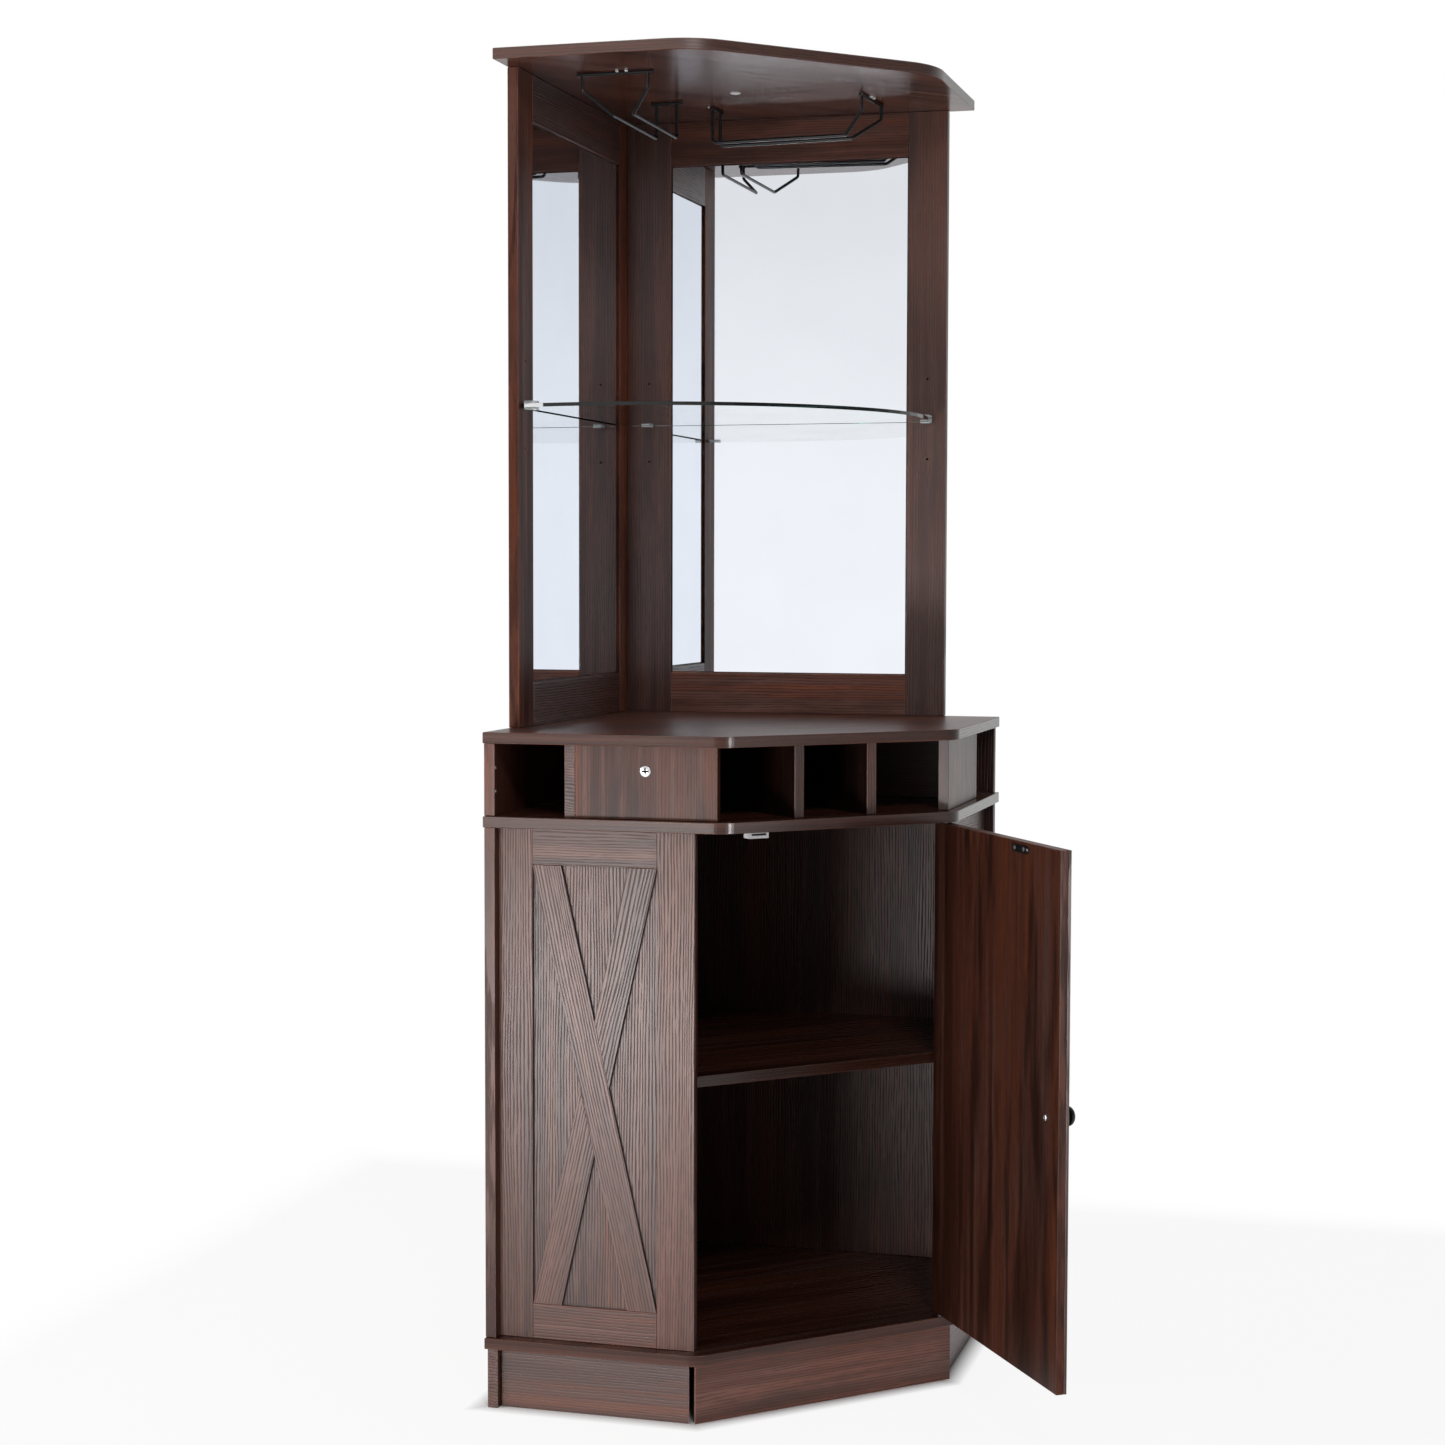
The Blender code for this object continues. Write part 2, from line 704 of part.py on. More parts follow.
def add_stemware_rack(side, place, turn, corner, finishes):
    """Two rails that open to a wide mouth at the front, hung from two cross bars."""
    ceiling = hutch_ceiling - seam - wire_radius
    rail_level = hutch_ceiling - rail_drop
    mouth_level = hutch_ceiling - mouth_drop
    swing = Matrix.Rotation(math.radians(turn), 2)

    def spot(along, across, level):
        outline = [tuple(Vector(place) + swing @ Vector((along, across)))]
        return (*for_side(side, outline)[0], level)

    rails = bmesh.new()
    bars = bmesh.new()
    for sign in (-1, 1):
        rail = sign * rail_spacing / 2
        mouth = sign * mouth_spacing / 2
        points = [spot(0, rail, ceiling), spot(0, rail, rail_level)]
        points += [spot(rail_length, rail, rail_level), spot(rack_length, mouth, mouth_level)]
        points.append(spot(rack_length, mouth, ceiling))
        tube(bent(points), wire_radius, rails)
    for along, spacing in ((0, rail_spacing), (rack_length, mouth_spacing)):
        reach = spacing / 2 + bar_overhang
        ends = [Vector(spot(along, -reach, ceiling)), Vector(spot(along, reach, ceiling))]
        tube(ends, wire_radius, bars)
    rack = add_piece(f"stemware_rack_{side}", rails, finishes["black"], corner, edge=0)
    combine(rack, guide(f"stemware_bars_{side}", bars, corner), "UNION")
    shade_round(rack)


def add_hutch_fittings(corner, finishes):
    """Stemware racks and the cap, all under the top board."""
    places = {"left": ((left_rack_along, left_rack_across), left_rack_turn)}
    places["right"] = ((right_rack_along, right_rack_across), right_rack_turn)
    for side, (place, turn) in places.items():
        add_stemware_rack(side, place, turn, corner, finishes)
    under = pointing((0, 0, -1), (cap_left, cap_right, hutch_ceiling - seam))
    cap = screw_head(cap_radius, cap_height, under)
    shade_round(add_piece("top_board_cap", cap, finishes["white"], corner, edge=0))


def knob_profile():
    """Mushroom knob, from its foot at the door to the crown."""
    crown_start = knob_projection * knob_crown_start_share
    crown = knob_projection - crown_start
    profile = [(0, seam), (knob_foot_radius, seam), (knob_foot_radius, knob_foot_height)]
    profile += [(knob_neck_radius, knob_neck_start), (knob_neck_radius, knob_neck_end)]
    profile.append((knob_radius * knob_brim_share, crown_start))
    for step in range(knob_crown_steps):
        turn = math.pi / 2 * step / knob_crown_steps
        rise = knob_rim_share + (1 - knob_rim_share) * math.sin(turn)
        profile.append((knob_radius * math.cos(turn), crown_start + crown * rise))
    return profile + [(0, knob_projection)]


def add_door(boards, finishes):
    """Door on its pivot pins. Its frame's X runs from the free edge to the hinge edge when shut."""
    wood = finishes["wood"]
    steel = finishes["steel"]
    inner_plane = corner_behind - base_front_plane / root_two - door_front_gap
    pivot = (door_width / 2 - pivot_edge_distance, inner_plane - pivot_depth)
    axis = empty("door_axis", (*pivot, 0), math.radians(door_open_angle))
    low = base_floor + door_floor_gap
    high = rack_board_base - door_head_gap
    hinge_edge = pivot_edge_distance
    free_edge = hinge_edge - door_width
    inner = pivot_depth
    slab_outer = inner - slab_thickness
    trim_outer = inner - board_thickness

    slab_shape = block((free_edge, slab_outer, low), (hinge_edge, inner, high))
    slab = add_piece("door_slab", slab_shape, wood, axis)
    bore = pivot_radius + pivot_fit
    spans = {"lower": (low - overrun, low + pivot_length + pivot_fit)}
    spans["upper"] = (high - pivot_length - pivot_fit, high + overrun)
    for name, ends in spans.items():
        combine(slab, guide(f"door_bore_{name}", rod(bore, *ends), axis), "DIFFERENCE")
    knob_place = (free_edge + knob_edge_distance, trim_outer, knob_height)
    outward = pointing((0, -1, 0), knob_place)
    screw_bore = knob_screw_radius + pin_fit
    through = rod(screw_bore, -board_thickness - overrun, knob_screw_reach, matrix=outward)
    screw_hole = guide("knob_screw_hole", through, axis)
    combine(slab, screw_hole, "DIFFERENCE")

    def place(along, height, depth):
        return (along, trim_outer + trim_thickness - depth, height)

    add_trim("door", (free_edge, hinge_edge), (door_stile, door_stile), (low, high), wood, axis, place)
    combine(bpy.data.objects["door_frame"], screw_hole, "DIFFERENCE")

    knob_shape = turned(knob_profile(), round_segments, outward)
    knob = add_piece("door_knob", knob_shape, finishes["black"], axis, edge=0)
    combine(knob, screw_hole, "DIFFERENCE")
    shade_round(knob)
    inward = pointing((0, 1, 0), (knob_place[0], inner + seam, knob_height))
    tip = -(board_thickness + seam + knob_screw_reach - pin_fit * 2)
    profile = [(0, tip), (knob_screw_radius, tip), (knob_screw_radius, 0)]
    profile += head_profile(knob_screw_head_radius, knob_screw_head_height)
    screw = turned(profile, small_round_segments, inward)
    shade_round(add_piece("door_knob_screw", screw, steel, axis, edge=0))

    strike_centre = free_edge + strike_edge_distance
    strike_level = high - strike_drop - strike_height / 2
    half_width = strike_width / 2
    half_height = strike_height / 2
    strike_low = (strike_centre - half_width, inner + seam, strike_level - half_height)
    strike_high = (strike_centre + half_width, inner + strike_thickness, strike_level + half_height)
    strike = block(strike_low, strike_high)
    ends = [edge for edge in strike.edges if edge.verts[0].co.xz == edge.verts[1].co.xz]
    rounding = strike_height * strike_end_share
    bmesh.ops.bevel(strike, geom=ends, offset=rounding, segments=strike_end_steps, affect="EDGES")
    add_piece("door_strike_plate", strike, finishes["black"], axis, edge=0)
    add_pivot_pins(boards, pivot, steel)
    add_catch(inner_plane, finishes)


def add_pivot_pins(boards, pivot, steel):
    """Pins with a collar, from the boards above and below into the door's ends."""
    floor = base_floor
    ceiling = rack_board_base
    collar = door_floor_gap - pivot_collar_seat
    lower = [(0, floor - pivot_length), (pivot_radius, floor - pivot_length), (pivot_radius, floor + seam)]
    lower += [(pivot_collar_radius, floor + seam), (pivot_collar_radius, floor + collar)]
    tip = floor + door_floor_gap + pivot_length
    lower += [(pivot_radius, floor + collar), (pivot_radius, tip), (0, tip)]
    head_collar = door_head_gap - pivot_collar_seat
    tip = ceiling - door_head_gap - pivot_length
    upper = [(0, tip), (pivot_radius, tip), (pivot_radius, ceiling - head_collar)]
    upper += [(pivot_collar_radius, ceiling - head_collar), (pivot_collar_radius, ceiling - seam)]
    upper += [(pivot_radius, ceiling - seam), (pivot_radius, ceiling + pivot_length)]
    upper.append((0, ceiling + pivot_length))
    place = Matrix.Translation((*pivot, 0))
    for name, profile in (("lower", lower), ("upper", upper)):
        pin = turned(profile, small_round_segments, place)
        shade_round(add_piece(f"door_pivot_{name}", pin, steel, None, edge=0))
    bore = pivot_radius + pin_fit
    for name, face, sign in (("bottom_board", floor, -1), ("rack_bottom_board", ceiling, 1)):
        ends = sorted((face - sign * overrun, face + sign * (pivot_length + pin_fit)))
        hole = rod(bore, *ends, matrix=place)
        combine(boards[name], guide(f"pivot_hole_{name}", hole, None), "DIFFERENCE")


def add_catch(inner_plane, finishes):
    """Magnetic catch under the rack's board, where the shut door's strike plate meets it."""
    centre = catch_edge_distance - door_width / 2
    front = inner_plane + strike_thickness + magnet_proud + seam * 2
    ceiling = rack_board_base - seam
    floor = ceiling - catch_height
    half_magnet = magnet_width / 2
    magnet_floor = floor + magnet_level
    magnet_ceiling = magnet_floor + magnet_height
    case_low = (centre - catch_width / 2, front, floor)
    case_high = (centre + catch_width / 2, front + catch_depth, ceiling)
    case = add_piece("magnetic_catch", block(case_low, case_high), finishes["white"], None, edge=0)
    slot_low = (centre - half_magnet - seam, front - overrun, magnet_floor - seam)
    slot_high = (centre + half_magnet + seam, front + magnet_depth + seam, magnet_ceiling + seam)
    combine(case, guide("magnet_slot", block(slot_low, slot_high), None), "DIFFERENCE")
    magnet_low = (centre - half_magnet, front - magnet_proud, magnet_floor)
    magnet_high = (centre + half_magnet, front + magnet_depth, magnet_ceiling)
    add_piece("catch_magnet", block(magnet_low, magnet_high), finishes["black"], None, edge=0)


def main():
    clear_scene()
    principled("guide", (0.8, 0.2, 0.2), 0.5)
    finishes = {
        "wood": principled("dark_walnut_laminate", (0.075, 0.032, 0.026), 0.42),
        "mirror": principled("mirror", (0.90, 0.92, 0.93), 0.03, 1.0),
        "backing": principled("hardboard", (0.10, 0.07, 0.05), 0.80),
        "glass": principled("clear_glass", (0.55, 0.75, 0.68), 0.05),
        "steel": principled("bright_steel", (0.70, 0.70, 0.71), 0.25, 1.0),
        "black": principled("black_metal", (0.012, 0.012, 0.014), 0.35, 0.6),
        "white": principled("white_plastic", (0.80, 0.80, 0.80), 0.40),
    }
    corner = empty("room_corner", (0, corner_behind, 0), math.radians(room_corner_turn))
    boards = add_boards(corner, finishes)
    add_kick(corner, finishes["wood"])
    panels = add_back_panels(corner, finishes["wood"])
    slabs = add_base_sides(corner, finishes["wood"])
    add_base_shelf(corner, finishes, panels, slabs)
    add_bottle_rack(corner, finishes)
    rows = add_hutch(corner, finishes)
    add_glass_shelf(corner, finishes, rows)
    add_hutch_fittings(corner, finishes)
    add_door(boards, finishes)


main()
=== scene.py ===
"""Looks of the corner bar cabinet: laminate grain, trim boards, screws, mirrors, glass and studio."""

import math

import bmesh
import bpy
from mathutils import Matrix, Vector


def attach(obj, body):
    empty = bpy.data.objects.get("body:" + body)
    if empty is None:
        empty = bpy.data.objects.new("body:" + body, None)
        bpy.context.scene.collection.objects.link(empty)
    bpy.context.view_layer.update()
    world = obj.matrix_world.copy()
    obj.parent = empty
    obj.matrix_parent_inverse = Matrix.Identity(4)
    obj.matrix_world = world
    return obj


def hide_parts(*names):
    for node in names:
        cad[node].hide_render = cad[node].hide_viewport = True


# Lengths are in metres, in the frame of the CAD model, and angles in degrees where nothing else is
# said. Plan places are pairs (left, right): the distance along the left wall and along the right wall
# of the room corner behind the cabinet.

# Camera, with its lens and sensor in millimetres
camera_place = (-1.8417, -3.03064, 1.14292)
camera_yaw = -29.0877
camera_pitch = -3.2577
camera_roll = 0.1205
camera_lens = 64.730
camera_reach = 100.0
sensor_width = 36.0

# Sizes shared with the CAD model
root_two = math.sqrt(2)
corner_behind = 0.6080174
base_floor = 0.100
base_ceiling = 0.801
hutch_ceiling = 1.835
seam = 0.0003
base_face = 0.580
base_end_depth = 0.293
rack_face = 0.586
board_thickness = 0.015
trim_thickness = 0.0042
trim_top_rail = 0.050
trim_bottom_rail = 0.048
side_rear_stile = 0.0485
side_front_stile = 0.0525
door_stile = 0.050
brace_width = 0.040
door_open_angle = 79.2
door_floor_gap = 0.0027
door_head_gap = 0.0030
pivot_place = (0.18849, -0.018287)
door_free_edge = -0.3909
door_hinge_edge = 0.0140
door_inner_face = 0.0075

# Edges of the pieces made here: their bevel, and the turn, in radians, from which an edge has one
trim_round = 0.0005
sharp_turn = 0.6
smooth_angle = 40.0

# Top board, whose rim is what faces up or down by less than a share
top_length = 0.555
top_end_depth = 0.284
top_corner_radius = 0.110
top_board_round = 0.0009
corner_steps = 24
corner_turn = 45
rim_upward_share = 0.5

# Screw heads: rings as shares of the radius, dome and recess as shares of the height
head_segments = 48
head_ring_shares = (0.10, 0.20, 0.30, 0.42, 0.54, 0.66, 0.78, 0.90, 0.97, 1.0)
head_dome_share = 0.55
cross_width_share = 0.26
cross_length_share = 0.64
cross_depth_share = 0.60

# Screws of the rack and the knob
fascia_screw_along = 0.2265
fascia_screw_level = 0.881
fascia_screw_radius = 0.0073
fascia_screw_height = 0.0018
knob_edge_distance = 0.038
knob_level = 0.452
knob_screw_radius = 0.0045
knob_screw_height = 0.0020
back_screw_along = 0.5895
back_screw_levels = (0.882, 0.850)
back_screw_radius = 0.0026
back_screw_height = 0.0012

# Strike plate on the door
strike_centre = -0.2719
strike_level = 0.7885
strike_width = 0.050
strike_height = 0.010
strike_thickness = 0.0012
strike_end_radius = 0.0045
strike_end_steps = 8
strike_round = 0.0003
strike_screw_offsets = (0.018, -0.009)
strike_screw_radius = 0.0034
strike_screw_height = 0.0006
strike_stud_offset = -0.0205
strike_stud_radius = 0.0024

# Stemware racks: side, place of the rear bar along and across the wall, turn out of square
rack_length = 0.241
stemware_racks = (("left", 0.1885, 0.1325, 0.0), ("right", 0.1883, 0.1171, 4.8))
bar_screw_spacing = 0.0134
bar_screw_side = 0.011
bar_screw_shift = 0.0050
bar_screw_radius = 0.0024
bar_screw_height = 0.0022

# Glass clips: name, wall, distance along it
glass_clips = (("left", "left", 0.470), ("right", "right", 0.4895), ("corner", "right", 0.05065))
clip_level = 1.377
clip_width = 0.014
clip_reach = 0.018
clip_upper_jaw = 0.0048
clip_lower_jaw = 0.0022
clip_back = 0.0023
clip_round = 0.0007
glass_drop = 0.0045
glass_thickness = 0.005

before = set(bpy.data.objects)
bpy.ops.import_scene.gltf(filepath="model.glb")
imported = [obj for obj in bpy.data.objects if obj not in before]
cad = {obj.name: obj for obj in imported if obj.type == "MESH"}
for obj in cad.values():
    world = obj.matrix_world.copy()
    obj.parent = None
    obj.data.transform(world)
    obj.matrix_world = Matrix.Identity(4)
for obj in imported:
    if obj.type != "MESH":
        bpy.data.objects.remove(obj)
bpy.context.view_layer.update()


def at(left, right, level):
    """Place of a plan pair in the model's frame."""
    return Vector(((right - left) / root_two, corner_behind - (left + right) / root_two, level))


def by_wall(side, along, out, level):
    """Place by its distances along one wall of the room corner and out from it."""
    pair = (along, out) if side == "left" else (out, along)
    return at(*pair, level)


toward_left_end = Vector((-1, -1, 0)).normalized()
toward_right_end = Vector((1, -1, 0)).normalized()
up = Vector((0, 0, 1))
sideways = Vector((1, 0, 0))
forward = Vector((0, -1, 0))

door_turn = Matrix.Rotation(math.radians(door_open_angle), 4, "Z")
door_along = (door_turn @ sideways).normalized()
door_outward = (door_turn @ forward).normalized()
door_inward = -door_outward


# Shader nodes

def start_material(name):
    """New material, its node tree and its main shader."""
    made = bpy.data.materials.new(name)
    made.use_nodes = True
    return made, made.node_tree, made.node_tree.nodes["Principled BSDF"]


def coordinates(tree):
    """Places and directions that a texture can follow."""
    return tree.nodes.new("ShaderNodeTexCoord").outputs


def math_node(tree, operation, first, second=None):
    made = tree.nodes.new("ShaderNodeMath")
    made.operation = operation
    for socket, value in zip(made.inputs, (first, second)):
        if isinstance(value, bpy.types.NodeSocket):
            tree.links.new(value, socket)
        elif value is not None:
            socket.default_value = value
    return made.outputs[0]


def added(tree, first, second):
    return math_node(tree, "ADD", first, second)


def product(tree, first, second):
    return math_node(tree, "MULTIPLY", first, second)


def ranged(tree, value, low, high, new_low=0.0, new_high=1.0, easing="LINEAR"):
    """A value's range from low to high, held at its ends, laid on the range from new_low to new_high."""
    made = tree.nodes.new("ShaderNodeMapRange")
    made.interpolation_type = easing
    tree.links.new(value, made.inputs["Value"])
    made.inputs["From Min"].default_value = low
    made.inputs["From Max"].default_value = high
    made.inputs["To Min"].default_value = new_low
    made.inputs["To Max"].default_value = new_high
    return made.outputs["Result"]


def mixed(tree, share, first, second, blend="MIX"):
    """The first colour where share is 0, the second, blended with it, where it is 1."""
    made = tree.nodes.new("ShaderNodeMix")
    made.data_type = "RGBA"
    made.blend_type = blend
    wanted = {"Factor_Float": share, "A_Color": first, "B_Color": second}
    for socket in made.inputs:
        if socket.identifier in wanted:
            value = wanted[socket.identifier]
            if isinstance(value, bpy.types.NodeSocket):
                tree.links.new(value, socket)
            elif isinstance(value, tuple):
                socket.default_value = (*value, 1.0)
            else:
                socket.default_value = value
    return [output for output in made.outputs if output.identifier == "Result_Color"][0]


def toned(tree, shade, tone):
    """A colour made darker, or lighter where tone is over 1."""
    return mixed(tree, 1.0, shade, (tone, tone, tone), "MULTIPLY")


def chosen(tree, share, first, second):
    """The first vector where share is 0, the second where it is 1."""
    made = tree.nodes.new("ShaderNodeMix")
    made.data_type = "VECTOR"
    sockets = {socket.identifier: socket for socket in made.inputs}
    tree.links.new(share, sockets["Factor_Float"])
    tree.links.new(first, sockets["A_Vector"])
    tree.links.new(second, sockets["B_Vector"])
    return [output for output in made.outputs if output.identifier == "Result_Vector"][0]


def parts_of(tree, vector):
    """The three parts of a vector, one by one."""
    made = tree.nodes.new("ShaderNodeSeparateXYZ")
    tree.links.new(vector, made.inputs[0])
    return made.outputs


def along_direction(tree, vector, direction):
    """The part of a vector along one fixed direction."""
    made = tree.nodes.new("ShaderNodeVectorMath")
    made.operation = "DOT_PRODUCT"
    tree.links.new(vector, made.inputs[0])
    made.inputs[1].default_value = direction
    return made.outputs["Value"]


def along_axes(tree, vector, axes):
    """The parts of a vector along three fixed directions, as a new vector."""
    joined = tree.nodes.new("ShaderNodeCombineXYZ")
    for socket, axis in zip(joined.inputs, axes):
        tree.links.new(along_direction(tree, vector, axis), socket)
    return joined.outputs[0]


def stretched(tree, vector, scales, shift):
    """A vector times three scales, moved by one shift."""
    made = tree.nodes.new("ShaderNodeVectorMath")
    made.operation = "MULTIPLY_ADD"
    tree.links.new(vector, made.inputs[0])
    made.inputs[1].default_value = scales
    made.inputs[2].default_value = (shift, shift, shift)
    return made.outputs[0]


def noise(tree, vector, scales, detail, roughness=0.5, shift=0.0):
    made = tree.nodes.new("ShaderNodeTexNoise")
    made.inputs["Scale"].default_value = 1.0
    made.inputs["Detail"].default_value = detail
    made.inputs["Roughness"].default_value = roughness
    tree.links.new(stretched(tree, vector, scales, shift), made.inputs["Vector"])
    return made.outputs["Fac"]


def even_noise(tree, vector, scale, detail, roughness=0.5, shift=0.0):
    """Noise of one scale in all directions."""
    return noise(tree, vector, (scale, scale, scale), detail, roughness, shift)


def add_bump(tree, shader, height, distance, strength):
    made = tree.nodes.new("ShaderNodeBump")
    made.inputs["Distance"].default_value = distance
    made.inputs["Strength"].default_value = strength
    tree.links.new(height, made.inputs["Height"])
    tree.links.new(made.outputs["Normal"], shader.inputs["Normal"])


# Laminate

# Wood colours, linear
dark_wood = (0.034, 0.0105, 0.0065)
middle_wood = (0.080, 0.0240, 0.0140)
pale_wood = (0.160, 0.0640, 0.0440)
warm_wood = (0.175, 0.0500, 0.0200)
grey_wood = (0.082, 0.0480, 0.0420)
line_wood = (0.018, 0.0065, 0.0045)
# Pale edge colour: partly wear, partly a painted highlight on the rounded edges
edge_wear_and_highlight_wood = (0.30, 0.165, 0.135)

# Noises of the grain: scales along it, across it and into the board, detail, roughness, seed shift
broad_noise = ((0.9, 14.0, 14.0), 3.0, 0.55, 0.0)
streak_noise = ((1.3, 62.0, 62.0), 4.0, 0.60, 7.0)
patch_noise = ((2.2, 8.0, 8.0), 2.0, 0.50, 17.0)
band_noise = ((3.0, 26.0, 26.0), 3.0, 0.60, 37.0)
sway_noise = ((2.4, 17.0, 17.0), 2.0, 0.45, 3.0)
flutter_noise = ((7.0, 60.0, 60.0), 1.0, 0.50, 5.0)
dash_noise = ((30.0, 420.0, 420.0), 2.0, 0.55, 13.0)
pore_noise = ((45.0, 950.0, 950.0), 1.0, 0.50, 29.0)
wear_and_highlight_noise = ((22.0, 60.0, 60.0), 2.0, 0.50, 0.0)
knot_scales = (3.2, 8.5, 8.5)

# Ranges for ranged(): the two ends of a value, and what they give, 0 and 1 where nothing is said
sway_range = (0.0, 1.0, -15.0, 15.0)
flutter_range = (0.0, 1.0, -3.0, 3.0)
dash_range = (0.2, 0.8, -0.95, 0.95)
line_range = (0.20, 0.95)
line_patch_range = (0.36, 0.62, 0.70, 1.0)
middle_range = (0.34, 0.66)
pale_range = (0.47, 0.74, 0.0, 0.80)
warm_streak_range = (0.52, 0.34)
warm_broad_range = (0.42, 0.62)
grey_patch_range = (0.52, 0.66)
grey_streak_range = (0.35, 0.60)
band_range = (0.52, 0.66)
pore_range = (0.64, 0.72, 0.0, 0.60)
knot_range = (0.050, 0.020, 0.0, 0.75)
edge_range = (0.97, 0.80)
wear_and_highlight_range = (0.35, 0.60, 0.30, 0.90)
# Next: range of the painted shade in corners where pieces meet
corner_shade_range = (0.90, 0.45)
rim_range = (0.55, 0.45)
# Next: range of the painted shade on a rear face
rear_face_shade_range = (0.0, -0.5)

warm_strength = 0.60
grey_strength = 0.55
line_strength = 0.92
# Darkness of the painted shade in corners
corner_shade_strength = 0.85
line_spacing = 0.0041
line_depth = 0.00022
line_roughness = 0.22
edge_reach = 0.0011
edge_samples = 4
# Reach and samples of the painted shade in corners
corner_shade_reach = 0.0045
corner_shade_samples = 6
banding_slant = 0.6
coat_roughness = 0.24


def edge_share(tree):
    """1 on the outer edges of a piece, 0 on its faces."""
    rounded = tree.nodes.new("ShaderNodeBevel")
    rounded.samples = edge_samples
    rounded.inputs["Radius"].default_value = edge_reach
    flat = tree.nodes.new("ShaderNodeNewGeometry")
    match = tree.nodes.new("ShaderNodeVectorMath")
    match.operation = "DOT_PRODUCT"
    tree.links.new(rounded.outputs["Normal"], match.inputs[0])
    tree.links.new(flat.outputs["Normal"], match.inputs[1])
    return ranged(tree, match.outputs["Value"], *edge_range)


def corner_shade_share(tree):
    """Share of painted shade: 1 deep in the corners where pieces meet, 0 on open faces."""
    open_air = tree.nodes.new("ShaderNodeAmbientOcclusion")
    open_air.samples = corner_shade_samples
    open_air.inputs["Distance"].default_value = corner_shade_reach
    return ranged(tree, open_air.outputs["AO"], *corner_shade_range)


def grain_noise(tree, place, seed, kind):
    """One of the noises of the grain, at its own place for each seed."""
    scales, detail, roughness, shift = kind
    return noise(tree, place, scales, detail, roughness, seed + shift)


def grain_lines(tree, place, seed, patches):
    """Fine lines along the grain, wavy, broken into dashes and fainter in patches."""
    sway = grain_noise(tree, place, seed, sway_noise)
    flutter = grain_noise(tree, place, seed, flutter_noise)
    dashes = grain_noise(tree, place, seed, dash_noise)
    turns = product(tree, parts_of(tree, place)[1], math.tau / line_spacing)
    turns = added(tree, turns, ranged(tree, sway, *sway_range))
    turns = added(tree, turns, ranged(tree, flutter, *flutter_range))
    waves = added(tree, math_node(tree, "SINE", turns), ranged(tree, dashes, *dash_range))
    return product(tree, ranged(tree, waves, *line_range), ranged(tree, patches, *line_patch_range))


def knot_share(tree, place, seed):
    """1 in the few small knots, 0 around them."""
    knots = tree.nodes.new("ShaderNodeTexVoronoi")
    knots.inputs["Scale"].default_value = 1.0
    tree.links.new(stretched(tree, place, knot_scales, seed), knots.inputs["Vector"])
    return ranged(tree, knots.outputs["Distance"], *knot_range)


def grain_colour(tree, place, seed, patches):
    """Brown ground of the laminate, with pale, warm and grey streaks."""
    broad = grain_noise(tree, place, seed, broad_noise)
    streaks = grain_noise(tree, place, seed, streak_noise)
    warm = product(tree, ranged(tree, streaks, *warm_streak_range), ranged(tree, broad, *warm_broad_range))
    grey = product(tree, ranged(tree, patches, *grey_patch_range), ranged(tree, streaks, *grey_streak_range))
    shade = mixed(tree, ranged(tree, broad, *middle_range), dark_wood, middle_wood)
    shade = mixed(tree, ranged(tree, streaks, *pale_range), shade, pale_wood)
    shade = mixed(tree, product(tree, warm, warm_strength), shade, warm_wood)
    return mixed(tree, product(tree, grey, grey_strength), shade, grey_wood)


def grain_marks(tree, place, seed, shade, lines, figure, emboss):
    """Dark bands, lines, pores and knots over the ground, and pale wear with a painted highlight along the
    edges.
    """
    bands = grain_noise(tree, place, seed, band_noise)
    pores = grain_noise(tree, place, seed, pore_noise)
    wear_and_highlight_spots = grain_noise(tree, place, seed, wear_and_highlight_noise)
    shade = mixed(tree, ranged(tree, bands, *band_range, 0.0, figure), shade, line_wood)
    shade = mixed(tree, product(tree, lines, line_strength * emboss ** 0.5), shade, line_wood)
    shade = mixed(tree, ranged(tree, pores, *pore_range), shade, line_wood)
    shade = mixed(tree, knot_share(tree, place, seed), shade, line_wood)
    # The pale edges are partly wear and partly a painted highlight
    wear_and_highlight = product(tree, edge_share(tree), ranged(tree, wear_and_highlight_spots, *wear_and_highlight_range))
    return mixed(tree, wear_and_highlight, shade, edge_wear_and_highlight_wood)


def grain_place(tree, grain, normal, flat_board):
    """Place along the grain, across it and into the board, lean of the surface, and share of the rim."""
    source = coordinates(tree)
    across = normal.cross(grain).normalized()
    place = along_axes(tree, source["Object"], (grain, across, normal))
    facing = along_direction(tree, source["Normal"], normal)
    rim_share = ranged(tree, math_node(tree, "ABSOLUTE", facing), *rim_range)
    if flat_board:
        # The banding on a board's rim has its grain along the rim
        rim_axes = (grain + across * banding_slant, normal, Vector())
        place = chosen(tree, rim_share, place, along_axes(tree, source["Object"], rim_axes))
    return place, facing, rim_share


